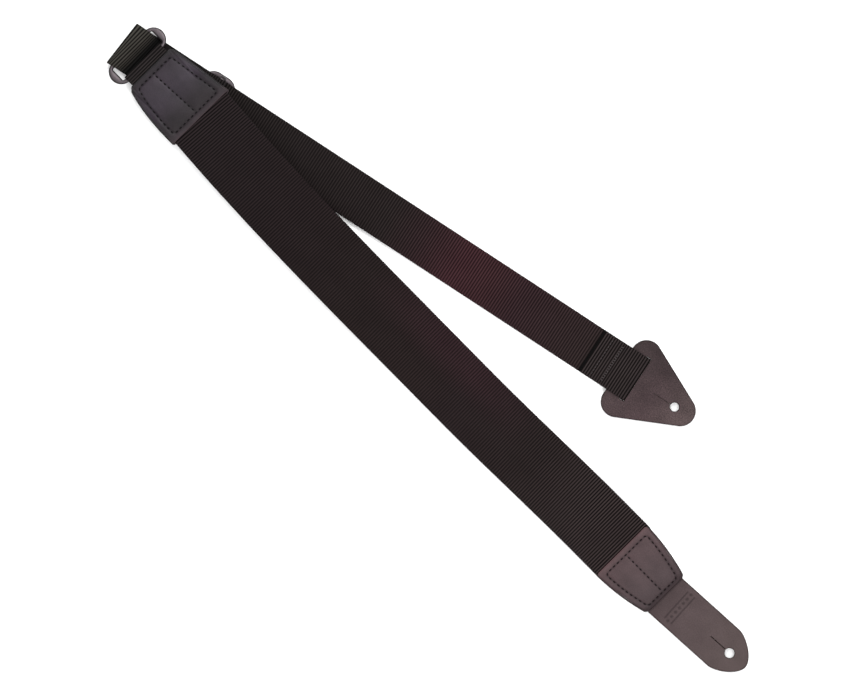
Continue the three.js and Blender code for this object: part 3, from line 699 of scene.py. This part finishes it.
def build_button_tab():
    tab = BUTTON_TAB
    half, taper = tab["width"] / 2, tab["tip"] - tab["taper"]
    t = np.sin(np.linspace(0, 1, 46)[1:] * math.radians(86))
    bezier = ((1 - t) ** 3)[:, None] * [taper, half] + (3 * t * (1 - t) ** 2)[:, None] * [taper + 7, half] \
        + (3 * t ** 2 * (1 - t))[:, None] * [tab["tip"], 9] + (t ** 3)[:, None] * [tab["tip"], 0]
    body = np.linspace(tab["root"], taper, 280)
    rows = np.concatenate([body, bezier[:, 0]])
    side = np.concatenate([np.full(280, half), bezier[:, 1]])
    piece = leather_sheet("button_tab_leather", on_tab, rows, -side, side,
                          lambda p, q: tab["bottom"] + 0 * p, TAB_THICKNESS, 0.8, 140, tab_ornament)
    keyhole_cuts(piece, on_tab, tab["bottom"], BUTTON_HOLE["radius"], BUTTON_HOLE["slit_end"], BUTTON_SLIT)
    sharpen_cuts(piece)
    finish_blend(piece, "tab_leather", "pad", "button_leather",
                 on_tab(flex_line(tab, -6)), on_tab(flex_line(tab, 5)),
                 "button_tab_root", "button_tab")


def tab_ornament(p, q):
    """A plain blind-pressed border across the tab: two rules with a row of dots between them."""
    middle, half, pitch = ORNAMENT["p"], ORNAMENT["half_width"], ORNAMENT["dot_pitch"]
    in_width = 1 - smoothstep(np.abs(q), half, half + 0.8)
    rules = sum(np.exp(-((p - middle - side * ORNAMENT["rule"]) / ORNAMENT["rule_width"]) ** 2)
                for side in (-1, 1))
    nearest = np.clip(np.round(q / pitch), -3, 3) * pitch
    dots = np.exp(-(((p - middle) ** 2 + (q - nearest) ** 2) / 1.6) ** 2)
    return -ORNAMENT["depth"] * np.maximum(rules * in_width, dots)


def build_end_tab():
    tab = END_TAB
    slope, normal = tab["side_angle"], math.pi / 2 - tab["side_angle"]
    half_at = lambda p: tab["half_width_at_hole"] - p * math.tan(slope)
    base_p = tab["base"] + tab["base_corner"]
    base_q = half_at(base_p) - tab["base_corner"] / math.cos(slope)
    tip_p = (tab["half_width_at_hole"] - tab["tip_corner"] / math.cos(slope)) / math.tan(slope)
    corner = np.linspace(math.pi, normal, 44)
    first = np.stack([base_p + tab["base_corner"] * np.cos(corner),
                      base_q + tab["base_corner"] * np.sin(corner)], -1)
    corner = np.linspace(normal, math.radians(3), 34)
    last = np.stack([tip_p + tab["tip_corner"] * np.cos(corner), tab["tip_corner"] * np.sin(corner)], -1)
    between = np.linspace(first[-1], last[0], 64)[1:-1]
    outline = np.vstack([first, between, last])
    piece = leather_sheet("end_tab_leather", on_end, outline[:, 0], -outline[:, 1], outline[:, 1],
                          lambda p, q: tab["bottom"] + 0 * p, TAB_THICKNESS, 0.8)
    keyhole_cuts(piece, on_end, tab["bottom"], END_HOLE["radius"], END_HOLE["slit_end"], END_SLIT)
    slot = slot_outline(END_SLOT["start"], END_SLOT["end"], -tab["v"], END_SLOT["width"] / 2)
    combine(piece, flared_cutter(on_end, slot, tab["bottom"], 0.12), "DIFFERENCE")
    sharpen_cuts(piece)
    finish_blend(piece, "tab_leather", "strap_end", "end_leather",
                 on_end(flex_line(tab, -6)), on_end(flex_line(tab, 6)),
                 "end_tab_root", "end_tab", surface="end_leather")


# ---- Ring and glide ----


def rounded_rectangle(half_x, half_y, radius, corner_steps=14, side_steps=10):
    """A closed outline, anticlockwise, its corners and sides evenly stepped."""
    corners = [(1, 1), (-1, 1), (-1, -1), (1, -1)]
    arcs = []
    for quarter, (side_x, side_y) in enumerate(corners):
        angles = (quarter + np.linspace(0, 1, corner_steps)) * math.pi / 2
        arcs.append(np.stack([side_x * (half_x - radius) + radius * np.cos(angles),
                              side_y * (half_y - radius) + radius * np.sin(angles)], -1))
    made = []
    for here, after in zip(arcs, arcs[1:] + arcs[:1]):
        made += [here, np.linspace(here[-1], after[0], side_steps + 2)[1:-1]]
    return np.vstack(made)


def hoop(shape, place, outer, inner, thickness, squareness):
    """A flat frame between two outlines, with a rounded section."""
    cos, sin = superellipse(24, 2 / squareness)
    middle, reach = (outer + inner) / 2, (outer - inner) / 2
    flat = middle[:, None] + reach[:, None] * cos[None, :, None]
    loops = np.concatenate([flat, np.broadcast_to(thickness / 2 * sin[None, :, None],
                                                  flat.shape[:2] + (1,))], -1)
    along = travelled(np.vstack([outer, outer[:1]]))
    shape.loft(place(loops), grid(along, np.linspace(0, 12, len(cos) + 1)), closed=True)
    # Marks the sides of the section, which the metal material paints with shade.
    side = smoothstep(np.abs(cos), 0.45, 0.75)
    shape.attributes["side"] = np.broadcast_to(side, loops.shape[:2])


def build_ring():
    length, width = RING["length"], RING["width"]
    rise = INNER_BAR[2] - OUTER_BAR[2]
    tilt = math.asin(rise / (length - RING["bar"]))
    middle = (np.array(INNER_BAR) + OUTER_BAR) / 2

    def on_ring(points):
        x, y, z = points[..., 0], points[..., 1], points[..., 2]
        turned = np.stack([x * math.cos(tilt) - z * math.sin(tilt), y,
                           x * math.sin(tilt) + z * math.cos(tilt)], -1)
        return on_pad(turned + middle)

    shape = Shape()
    outer = rounded_rectangle(length / 2, width / 2, length / 2 - 0.2)
    inner = rounded_rectangle(length / 2 - RING["bar"], width / 2 - RING["lobe"], RING["slot_corner"])
    hoop(shape, on_ring, outer, inner, RING["thickness"], 2.6)
    finish_piece(shape.make("oval_ring_metal"), "ring_metal", "ring", "oval_ring")


def build_glide():
    shape = Shape()
    on_glide = lambda points: on_strap(points + [GLIDE["u"], 0, 0])
    outer = rounded_rectangle(GLIDE["length"] / 2, GLIDE["width"] / 2, GLIDE["corner"])
    inner = rounded_rectangle(GLIDE["length"] / 2 - GLIDE["side_bar"],
                              GLIDE["width"] / 2 - GLIDE["lobe"], 3)
    hoop(shape, lambda points: on_glide(points + [0, 0, GLIDE["plate"] / 2]), outer, inner,
         GLIDE["plate"], 2.8)
    frame_piece = shape.make("tri_glide_metal")

    reach = GLIDE["width"] / 2 - 0.5 - GLIDE_BAR["post"] / 2
    top = GLIDE_BAR["bottom"] + GLIDE_BAR["thickness"] / 2
    bend = 1.9
    route = np.array([(-reach, 0.9), (-reach, 2)] + arc(bend - reach, top - bend, bend, 180, 90, 9)
                     + arc(reach - bend, top - bend, bend, 90, 0, 9) + [(reach, 2), (reach, 0.9)])
    thick = np.interp(route[:, 1], [2.5, top], [GLIDE_BAR["post"] / 2, GLIDE_BAR["thickness"] / 2])
    forward = directions(route)
    cos, sin = superellipse(20, 0.65)
    offset = thick[:, None] * sin[None]
    loops = np.stack([np.broadcast_to(cos * GLIDE_BAR["length"] / 2, offset.shape),
                      route[:, 0, None] - offset * forward[:, 1, None],
                      route[:, 1, None] + offset * forward[:, 0, None]], -1)
    bar = loft("glide_bar", on_glide, loops, travelled(route), np.linspace(0, 12, 21))
    combine(frame_piece, bar, "UNION")
    finish_piece(frame_piece, "ring_metal", "glide", "tri_glide")


# ---- Webbing ----


def tail_middle(u):
    low = WEB["thickness"] * 1.5 + GAP
    high = END_TAB["bottom"] + TAB_THICKNESS + GAP + WEB["thickness"] / 2
    return lerp(low, high, smoothstep(u, TAIL["rise"], TAIL["rise_end"]))


def adjuster_route():
    """The adjuster webbing's middle, as (u, skew, z), from its loop on the glide, through the
    ring, to its loop round the end tab's leather."""
    upper = SHORT_Z + WEB["thickness"] + GAP
    loop_top = GLIDE_BAR["bottom"] + GLIDE_BAR["thickness"] + GAP + WEB["thickness"] / 2
    turn = (loop_top - SHORT_Z) / 2
    glide = [(-14, upper), (-9, upper), (-6.5, upper + 0.5), (-3, loop_top - 0.1), (0, loop_top)]
    glide += arc(2.8, SHORT_Z + turn, turn, 90, -90, 9) + [(0, SHORT_Z), (-6, SHORT_Z), (-12, SHORT_Z)]
    glide = [(u + GLIDE["u"], 0, z) for u, z in glide]
    over, fold = BAR_SKEW, FOLD_SKEW
    ring = [(40, 0, SHORT_Z), (24, 0, SHORT_Z), (18, over * 0.25, SHORT_Z), (12, over * 0.7, SHORT_Z),
            (8, over * 0.95, 4.45), (5.8, over, 5.3), (4.2, over, 6.8), (2.3, over, 8.2), (0, over, 8.5),
            (-2.4, over, 8.2), (-4.8, lerp(fold, over, 0.6), 7.2), (-7.0, fold, 5.8), (-7.6, fold, 4.6),
            (-7.1, fold, 3.5), (-5.6, fold, 2.8), (-3, 0, LONG_Z), (4, 0, LONG_Z), (14, 0, LONG_Z)]
    low = WEB["thickness"] / 2
    slope = [(u, 0, lerp(LONG_Z, low, smoothstep(u, 400, 418))) for u in np.linspace(400, 418, 7)]
    leg = [(u, 0, LONG_Z) for u in (60, 120, 190, 260, 330, 380)] + slope
    turn = (tail_middle(TAIL["fold"]) - low) / 2
    fold_u = TAIL["fold"] - turn
    end = [(u, 0, low) for u in (424, 440, 456, fold_u - 1)]
    end += [(u, 0, z) for u, z in arc(fold_u, low + turn, turn, -90, 90, 11)]
    tail = [466, 460, 456, *np.linspace(TAIL["rise_end"], TAIL["rise"], 7), 440, 434, TAIL["end"]]
    end += [(u, 0, float(tail_middle(u))) for u in tail]
    return spline(glide + ring + leg + end)


def build_adjuster():
    route = adjuster_route()
    at = travelled(route[:, [0, 2]])
    past_glide = np.flatnonzero((route[:, 0] < SHORT_START) & (at > 10))[0]
    joined = at[past_glide]

    distance = rows_for(at[-1] - joined)
    path = resample(route, at, joined + distance)
    past_fold = np.flatnonzero(path[:, 0] > 200)[0]
    uv_start = round((path[past_fold, 0] - distance[past_fold]) / RIB_PITCH) * RIB_PITCH
    at_fold = np.exp(-((path[:, 0] + 8) / 5) ** 2)
    long_webbing = webbing("adjuster_webbing", on_strap, path, distance, 0.3 * at_fold, uv_start)
    finish_blend(long_webbing, "webbing", "adjuster_loop", "strap_end",
                 on_strap([30, 0, LONG_Z]), on_strap([400, 0, LONG_Z]),
                 "adjuster_fold", "adjuster_long_leg", "strap_end_loop")

    # The short leg is woven as long as it is with the glide slid out, so its ribs open to their
    # true pitch there, and lie close together at rest, under the pad.
    back = joined - at[:past_glide + 1][::-1]
    u = route[:past_glide + 1, 0][::-1]
    on_leg = back < SHORT_STRETCH_END - SHORT_START
    woven = back + SLIDE * np.where(on_leg, smoothstep(u, SHORT_START, SHORT_STRETCH_END), 1)
    distance = rows_for(woven[-1])
    path = resample(route[:past_glide + 1][::-1], woven, distance)
    short_webbing = webbing("adjuster_glide_webbing", on_strap, path, distance)
    finish_blend(short_webbing, "webbing", "adjuster_loop", "glide",
                 on_strap([SHORT_START, 0, SHORT_Z]), on_strap([SHORT_STRETCH_END, 0, SHORT_Z]),
                 "adjuster_short_leg", "glide_end_loop", surface="plain_webbing")


def build_anchor():
    on_ring_middle = Placer("ring_swivel", (INNER_BAR[0], 0, INNER_BAR[2]), 0)
    lower, upper, end = ANCHOR["lower"], ANCHOR["upper"], ANCHOR["end"]
    points = [(end, lower), (34, lower), (20, lower), (17.2, lower - 0.3), (14.6, lower - 2)]
    points += arc(INNER_BAR[0], INNER_BAR[2], ANCHOR["wrap"], -50, -270, 15)
    points += [(13, 11.4), (17, upper), (20, upper), (34, upper), (end, upper)]
    route = spline([(x, 0, z) for x, z in points])
    at = travelled(route[:, [0, 2]])
    distance = rows_for(at[-1])
    piece = webbing("anchor_webbing_loop", on_ring_middle, resample(route, at, distance), distance)
    finish_piece(piece, "webbing", "pad", "anchor_webbing", surface="anchor_webbing")


def build_webbing_stitches():
    """The rows that close the webbing's loops at the glide and at the end tab."""
    half, thick = LOOP_STITCHES["half_width"], WEB["thickness"] / 2
    row = lambda u: np.array([[u, -half], [u, half]], float)
    turns = LOOP_STITCHES["turns"]
    side = LOOP_STITCHES["sway"] / 2 * (-1.0) ** np.arange(turns + 1)
    zigzag = np.stack([LOOP_STITCHES["zigzag"] + side, np.linspace(-half, half, turns + 1)], -1)
    spans = [np.stack(ends) for ends in zip(zigzag[:-1], zigzag[1:])]
    upper = lambda u, v: SHORT_Z + WEB["thickness"] + GAP + thick + 0 * u
    tail = lambda u, v: tail_middle(u) + thick
    for name, body, lines, height, pitch, gap, radius in (
            ("glide_loop", "glide", [row(GLIDE["u"] + LOOP_STITCHES["glide"])], upper, 2.7, 1.1, 0.4),
            ("tail_row", "strap_end", [row(LOOP_STITCHES["row"])], tail, 2.7, 1.1, 0.42),
            ("tail_zigzag", "strap_end", spans, tail, 5, 1.9, 0.42)):
        sewn = Shape()
        for line in lines:
            add_stitches(sewn, on_strap, line, height, 1, pitch, gap, radius)
        finish_piece(sewn.make(name + "_stitches"), "thread", body, name + "_thread",
                     surface="webbing_thread")


# ---- Materials ----

YARN_PITCH = 0.85
LINING_PITCH = 0.7
CLOTH_SHINE = 0.05
CLOTH_GLOSS = CLOTH_SHINE * 0.25  # what of it the ribs show
PATCH_SHINE = 0.2
TAB_SHINE = 0.1
LIGHT_GAIN = 1.95  # how much brighter than its base colour a matt surface shows under the lights


def seen(red, green, blue, shine=0.0):
    """The base colour, linear, of a surface that shows as this 0-255 screen colour, shine being
    the specular level that adds to it."""
    channels = [(c / 255 / 12.92 if c <= 10 else ((c / 255 + 0.055) / 1.055) ** 2.4)
                for c in (red, green, blue)]
    return (*[max(0.002, (c - 0.15 * shine) / LIGHT_GAIN) for c in channels], 1)


def tints(shine, stops):
    """Colour stops (position, colour) from (position, red, green, blue) as they show on screen."""
    return [(at, seen(*colour, shine)) for at, *colour in stops]


class Graph:
    """A material's node tree, built from the Principled node backwards."""

    def __init__(self, name, **surface):
        self.material = bpy.data.materials.new(name)
        self.material.use_nodes = True
        self.tree = self.material.node_tree
        self.surface = self.tree.nodes["Principled BSDF"]
        self.put(self.surface, surface)
        uv = self.add("ShaderNodeUVMap", uv_map="UVMap")
        self.uv = uv.outputs[0]
        split = self.add("ShaderNodeSeparateXYZ", {"Vector": self.uv})
        self.along, self.across = split.outputs[0], split.outputs[1]

    def put(self, node, values):
        for key, value in values.items():
            socket = node.inputs[key.replace("_", " ") if isinstance(key, str) else key]
            if isinstance(value, bpy.types.NodeSocket):
                self.tree.links.new(value, socket)
            else:
                socket.default_value = value

    def add(self, kind, values=None, **settings):
        node = self.tree.nodes.new(kind)
        for key, value in settings.items():
            setattr(node, key, value)
        self.put(node, values or {})
        return node

    def math(self, operation, *values):
        node = self.add("ShaderNodeMath", operation=operation)
        self.put(node, dict(enumerate(values)))
        return node.outputs[0]

    def wave(self, value, period, shift=0.0):
        """From 0 to 1 and back every period."""
        turned = self.math("MULTIPLY_ADD", value, 2 * math.pi / period, shift)
        return self.math("MULTIPLY_ADD", self.math("SINE", turned), 0.5, 0.5)

    def noise(self, scale, detail=2, stretch=(1, 1, 1), roughness=0.5):
        """Noise over the surface, with its scale in features for each millimetre."""
        spread = self.add("ShaderNodeMapping", {"Vector": self.uv, "Scale": stretch})
        node = self.add("ShaderNodeTexNoise", {"Vector": spread.outputs[0], "Scale": scale,
                                               "Detail": detail, "Roughness": roughness})
        return node.outputs["Fac"]

    def cells(self, scale, feature="F1"):
        node = self.add("ShaderNodeTexVoronoi", {"Vector": self.uv, "Scale": scale}, feature=feature)
        return node.outputs["Distance"]

    def attribute(self, name):
        return self.add("ShaderNodeAttribute", attribute_name=name).outputs["Fac"]

    def between(self, value, low, high, to_low=0.0, to_high=1.0):
        node = self.add("ShaderNodeMapRange", {"Value": value, "From Min": low, "From Max": high,
                                               "To Min": to_low, "To Max": to_high})
        return node.outputs[0]

    def ramp(self, value, stops):
        """Colours along a value: stops are (value, colour)."""
        first, last = stops[0][0], stops[-1][0]
        node = self.add("ShaderNodeValToRGB", {"Fac": self.between(value, first, last)})
        elements = node.color_ramp.elements
        while len(elements) < len(stops):
            elements.new(0.5)
        for element, (position, colour) in zip(elements, stops):
            element.position = (position - first) / (last - first)
            element.color = colour
        return node.outputs[0]

    def mix(self, factor, a, b, blend="MIX"):
        node = self.add("ShaderNodeMix", data_type="RGBA", blend_type=blend)
        self.put(node, {0: factor, 6: a, 7: b})
        return node.outputs[2]

    def scale(self, colour, factor):
        """A colour made darker or lighter by a number."""
        grey = self.add("ShaderNodeCombineColor", {0: factor, 1: factor, 2: factor})
        return self.mix(1.0, colour, grey.outputs[0], "MULTIPLY")

    def bump(self, height, depth_mm):
        values = {"Height": height, "Distance": depth_mm * MM, "Strength": 1.0}
        return self.add("ShaderNodeBump", values).outputs[0]

    def done(self, colour, normal=None, roughness=None):
        values = {"Base_Color": colour, "Normal": normal, "Roughness": roughness}
        self.put(self.surface, {key: value for key, value in values.items() if value is not None})
        return self.material


def ribbed_cloth(name, stops, rib_shading, red_sheen=None):
    """Grosgrain: warp yarns that cross each rib, with painted shade in the valleys between the ribs
    and painted light on their crests. The second list has how strong that painted rib light and
    shade is along the cloth, and the last argument an area of painted reddish sheen."""
    g = Graph(name, Roughness=0.92, Specular_IOR_Level=CLOTH_SHINE)
    ribs = g.math("FLOOR", g.math("DIVIDE", g.along, RIB_PITCH))
    odd = g.math("MULTIPLY", g.math("PINGPONG", ribs, 1.0), math.pi)
    yarns = g.wave(g.across, YARN_PITCH, odd)
    # Painted light and shade from the ribs: lighter on their crests, painted shade in the valleys between
    # them.
    rib_shading_wave = g.math("MULTIPLY_ADD", g.wave(g.along, RIB_PITCH, -math.pi / 2), 2.0, -1.0)
    fibres = g.noise(1.0, 3, (3.2, 9, 1), 0.65)
    patches = g.noise(1.0, 2, (0.035, 0.06, 1))
    colour = g.ramp(g.along, tints(CLOTH_GLOSS, stops))
    # A painted reddish sheen of the lights over one area of the cloth.
    if red_sheen:
        side = g.between(g.across, *red_sheen["across"])
        into = g.between(g.along, *red_sheen["along"][:2])
        past = g.between(g.along, *red_sheen["along"][:1:-1])
        area = g.math("MULTIPLY", side, g.math("MULTIPLY", into, past))
        colour = g.mix(area, colour, seen(*red_sheen["colour"], CLOTH_GLOSS))
    # How strong the painted rib light and shade is at each place along the cloth.
    reach = g.ramp(g.along, [(at, (value, value, value, 1)) for at, value in rib_shading])
    shade = g.math("MAXIMUM", g.math("MULTIPLY_ADD", rib_shading_wave, reach, 1.0), 0.04)
    shade = g.math("MULTIPLY", shade, g.between(yarns, 0, 1, 0.86, 1.12))
    shade = g.math("MULTIPLY", shade, g.between(fibres, 0.25, 0.75, 0.8, 1.2))
    shade = g.math("MULTIPLY", shade, g.between(patches, 0.3, 0.7, 0.93, 1.07))
    height = g.math("ADD", yarns, g.math("MULTIPLY", fibres, 0.7))
    return g.done(g.scale(colour, shade), g.bump(height, 0.12))


def plain_cloth(name, colour):
    g = Graph(name, Roughness=0.95, Specular_IOR_Level=CLOTH_SHINE)
    over = g.math("MULTIPLY", g.wave(g.along, LINING_PITCH), g.wave(g.across, LINING_PITCH))
    fibres = g.noise(2.5, 3)
    shade = g.math("MULTIPLY", g.between(over, 0, 1, 0.8, 1.15), g.between(fibres, 0.3, 0.7, 0.85, 1.15))
    return g.done(g.scale(colour, shade), g.bump(g.math("ADD", over, fibres), 0.12))


def foam(name, colour):
    g = Graph(name, Roughness=0.95, Specular_IOR_Level=0.2)
    pores = g.cells(1.6)
    return g.done(g.scale(colour, g.between(pores, 0, 0.8, 0.8, 1.1)), g.bump(pores, 0.15))


def leather(name, shine, stops, rim, under, clouding_and_sheen, roughness, grain, mottling=0.08, slant=None):
    """Leather: fine pebbled grain and cloudy colour, partly its own uneven tone and partly painted soft
    sheen, with painted shade where the face is pressed in, dyed edges and a rough underside. stops
    and rim have its colours along it, and slant makes one side darker."""
    g = Graph(name, Specular_IOR_Level=shine)
    clouds = g.noise(1.0, 3, (0.055, 0.075, 1), 0.5)
    specks = g.noise(1.1, 3)
    pebbles = g.cells(grain)
    creases = g.cells(grain * 0.55, "DISTANCE_TO_EDGE")
    # The clouds are partly the leather's own uneven tone and partly a painted soft sheen of the lights.
    colour = g.scale(g.ramp(g.along, tints(shine, stops)),
                     g.between(clouds, 0.33, 0.67, 1 - clouding_and_sheen, 1 + clouding_and_sheen))
    colour = g.scale(colour, g.between(specks, 0.3, 0.7, 1 - mottling, 1 + mottling))
    if slant:
        colour = g.scale(colour, g.between(g.across, *slant))
    colour = g.scale(colour, g.between(creases, 0, 0.12, 0.86, 1.0))
    # Painted shade where the face is pressed in: the seam grooves and the pressed ornament.
    colour = g.scale(colour, g.between(g.attribute("pressed"), 0, 1, 1.0, 0.6))
    colour = g.mix(g.math("MULTIPLY", g.attribute("under"), 0.85), colour, seen(*under, shine))
    colour = g.mix(g.math("MULTIPLY", g.attribute("rim"), 0.7), colour, g.ramp(g.along, tints(shine, rim)))
    height = g.math("ADD", g.between(pebbles, 0, 0.7, 1, 0), g.between(creases, 0, 0.15))
    gloss = g.between(clouds, 0.3, 0.7, roughness + 0.05, roughness - 0.05)
    gloss = g.math("ADD", gloss, g.math("MULTIPLY", g.attribute("under"), 0.3))
    return g.done(colour, g.bump(height, 0.035), gloss)


def sewing_thread(name, colour):
    g = Graph(name, Roughness=0.7, Specular_IOR_Level=0.1)
    ply = g.wave(g.math("ADD", g.along, g.math("MULTIPLY", g.across, 0.5)), 0.5)
    fibres = g.noise(6.0, 2)
    shade = g.math("MULTIPLY", g.between(ply, 0, 1, 0.65, 1.2), g.between(fibres, 0.3, 0.7, 0.9, 1.1))
    return g.done(g.scale(colour, shade), g.bump(ply, 0.12))


def plated_metal(name, colour, side_shade):
    """Satin-plated metal, with painted shade on the sides of its section and darker where the plating has
    dulled.
    """
    g = Graph(name, Metallic=1.0)
    place = g.add("ShaderNodeTexCoord").outputs["Object"]
    clouds = g.add("ShaderNodeTexNoise", {"Vector": place, "Scale": 160, "Detail": 4}).outputs["Fac"]
    scratches = g.add("ShaderNodeTexNoise", {"Vector": place, "Scale": 2500, "Detail": 2}).outputs["Fac"]
    worn = g.scale(colour, g.between(clouds, 0.35, 0.65, 0.8, 1.15))
    # Painted shade on the sides of the section.
    mixed = g.mix(g.math("MULTIPLY", g.attribute("side"), 0.95), worn, side_shade)
    shine = g.math("ADD", g.between(clouds, 0.3, 0.7, 0.42, 0.34), g.math("MULTIPLY", scratches, 0.1))
    return g.done(mixed, g.bump(g.math("ADD", scratches, clouds), 0.02), shine)


# Each colour stop is a place along the cloth or leather, in millimetres, and a screen colour there.

PAD_TINTS = [(57, 40, 34, 35), (95, 38, 32, 33), (170, 38, 31, 32), (250, 39, 32, 32), (330, 42, 34, 34),
             (370, 42, 34, 35), (430, 42, 35, 35), (490, 47, 40, 40), (553, 45, 38, 38)]
# How strongly painted light and shade pick out the pad's ribs along it.
PAD_RIB_SHADING = [(57, 1.2), (150, 0.85), (240, 0.65), (400, 0.65), (470, 1.3), (553, 1.6)]
# Where on the pad a reddish sheen of the lights is painted, and its colour.
PAD_RED_SHEEN = {"across": (42, 24), "along": (250, 325, 365, 430), "colour": (49, 35, 38)}
# Along the adjuster webbing: painted shade from -40 to -29 mm, where it goes through the ring's slot, a
# painted reddish sheen from 270 to 360 mm, and the painted shadow of the tail's cut end from 428 to 432 mm.
STRAP_TINTS = [(-40, 12, 10, 10), (-29, 14, 12, 12), (-24, 50, 47, 44), (-12, 58, 56, 52), (2, 36, 33, 32),
               (150, 38, 33, 33), (240, 40, 34, 34), (270, 49, 36, 38), (305, 61, 38, 42),
               (330, 59, 38, 41), (360, 51, 36, 39), (426, 48, 39, 39), (428, 16, 11, 12),
               (432, 16, 11, 12), (436, 46, 40, 40), (560, 46, 40, 40)]
# How strongly painted light and shade pick out the adjuster webbing's ribs along it.
STRAP_RIB_SHADING = [(-40, 1.2), (10, 1.0), (150, 0.75), (420, 0.75), (470, 1.1), (560, 1.3)]
# Painted shade from 37 to 42.5 mm, where the anchor webbing wraps round the ring's bar in its slot.
ANCHOR_TINTS = [(0, 40, 37, 37), (33, 40, 37, 37), (37, 14, 12, 12), (42.5, 14, 12, 12), (46, 42, 38, 38),
                (80, 40, 37, 37)]
PLAIN_TINTS = [(0, 38, 35, 35), (300, 38, 35, 35)]

materials = {
    "ribbed_fabric": ribbed_cloth("ribbed_fabric", PAD_TINTS, PAD_RIB_SHADING, red_sheen=PAD_RED_SHEEN),
    "webbing": ribbed_cloth("webbing", STRAP_TINTS, STRAP_RIB_SHADING),
    "anchor_webbing": ribbed_cloth("anchor_webbing", ANCHOR_TINTS, [(0, 1.0), (80, 1.0)]),
    "plain_webbing": ribbed_cloth("plain_webbing", PLAIN_TINTS, [(0, 0.9), (300, 0.9)]),
    "neoprene": foam("neoprene", seen(33, 32, 34)),
    "lining": plain_cloth("lining", seen(40, 38, 40)),
    # Upper patches: the lighter stops from 23 to 40 mm are a painted soft sheen of the lights, with darker
    # stops before and after it.
    "patch_leather": leather(
        "patch_leather", PATCH_SHINE,
        stops=[(16, 55, 50, 54), (20, 57, 52, 56), (23, 66, 60, 66), (40, 72, 66, 73), (56, 56, 49, 55),
               (64, 56, 49, 54), (71, 70, 62, 66)],
        rim=[(16, 50, 46, 48), (63, 50, 46, 48), (71, 80, 68, 70)],
        under=(54, 50, 52), clouding_and_sheen=0.22, roughness=0.5, grain=1.1),
    # Lower patches: the stops and rim darken from 583.5 mm to the narrow end, painted shade where it curves
    # down to the tab.
    "lower_patch_leather": leather(
        "lower_patch_leather", PATCH_SHINE,
        stops=[(539, 104, 84, 86), (545, 92, 76, 78), (564, 92, 78, 80), (577, 86, 74, 76),
               (583.5, 82, 70, 72), (586.5, 68, 57, 59), (590, 62, 52, 54)],
        rim=[(539, 112, 86, 88), (546, 70, 53, 56), (590, 60, 50, 52)],
        under=(60, 50, 50), clouding_and_sheen=0.14, roughness=0.5, grain=1.1),
    "tab_leather": leather(
        "tab_leather", TAB_SHINE,
        stops=[(-91, 84, 72, 73), (-66, 84, 72, 73), (-52, 95, 82, 83), (17, 98, 86, 85)],
        rim=[(-91, 54, 42, 42), (17, 60, 48, 46)],
        under=(80, 68, 68), clouding_and_sheen=0.07, roughness=0.6, grain=1.3),
    "end_leather": leather(
        "end_leather", TAB_SHINE,
        stops=[(-53, 76, 65, 66), (-20, 79, 66, 68), (12, 94, 81, 81)],
        rim=[(-53, 46, 36, 37), (12, 52, 40, 40)],
        under=(66, 56, 56), clouding_and_sheen=0.16, roughness=0.6, grain=1.1,
        mottling=0.45, slant=(-28, 28, 1.25, 0.75)),
    "thread": sewing_thread("thread", seen(16, 13, 15)),
    "lower_thread": sewing_thread("lower_thread", seen(34, 24, 26)),
    "webbing_thread": sewing_thread("webbing_thread", seen(84, 78, 79)),
    "ring_metal": plated_metal("ring_metal", (0.075, 0.064, 0.069, 1), (0.01, 0.009, 0.009, 1)),
}


def cover_inner_nodes():
    """The pad's inside keeps its CAD solids, in foam and webbing."""
    for node, name in (("pad_core", "neoprene"), ("stay_webbing", "plain_webbing")):
        mesh = frame["nodes"][node].data
        mesh.materials.clear()
        mesh.materials.append(materials[name])
        layer = mesh.uv_layers[0] if mesh.uv_layers else mesh.uv_layers.new()
        layer.name = "UVMap"
        points = np.array([mesh.vertices[loop.vertex_index].co[:2] for loop in mesh.loops]) / MM
        layer.data.foreach_set("uv", points.astype(np.float32).ravel())


# ---- Studio ----


def link(thing):
    bpy.context.scene.collection.objects.link(thing)
    return thing


def build_floor():
    mesh = bpy.data.meshes.new("floor")
    far = 6
    mesh.from_pydata([(-far, -far, 0), (far, -far, 0), (far, far, 0), (-far, far, 0)], [], [(0, 1, 2, 3)])
    floor = link(bpy.data.objects.new("floor", mesh))
    floor.location.z = -0.0004
    g = Graph("floor", Roughness=0.9, Specular_IOR_Level=0.0)
    tone = g.between(g.noise(0.6, 2), 0, 1, 0.995, 1.0)
    mesh.materials.append(g.done(g.scale((0.94, 0.94, 0.94, 1), tone)))


def build_lights():
    world = bpy.data.worlds.new("studio")
    bpy.context.scene.world = world
    world.use_nodes = True
    background = world.node_tree.nodes["Background"]
    background.inputs["Color"].default_value = (1, 1, 1, 1)
    background.inputs["Strength"].default_value = 0.45
    for name, place, power, size in LIGHTS:
        light = bpy.data.lights.new(name, "AREA")
        light.energy, light.size = power, size
        lamp = link(bpy.data.objects.new(name, light))
        lamp.location = place
        lamp.rotation_euler = Vector(place).to_track_quat("Z", "Y").to_euler()


def build_camera():
    """A camera that looks straight down on the strap, from far above it."""
    camera = link(bpy.data.objects.new("camera", bpy.data.cameras.new("camera")))
    camera.data.sensor_width = CAMERA["sensor"]
    camera.data.lens = CAMERA["sensor"] * CAMERA["height"] / CAMERA["framed_width"]
    camera.location = on_pad(np.add(CAMERA["aim"], [0, 0, CAMERA["height"]]))
    camera.rotation_euler = (0, 0, math.radians(CAMERA["turn"]))
    bpy.context.scene.camera = camera
    bpy.context.scene.view_settings.view_transform = "Standard"


# ---- Assembly ----

build_floor()
build_lights()
build_camera()
cover_inner_nodes()
build_pad()
build_patches()
build_anchor()
build_ring()
build_adjuster()
build_glide()
build_webbing_stitches()
build_end_tab()
build_button_tab()
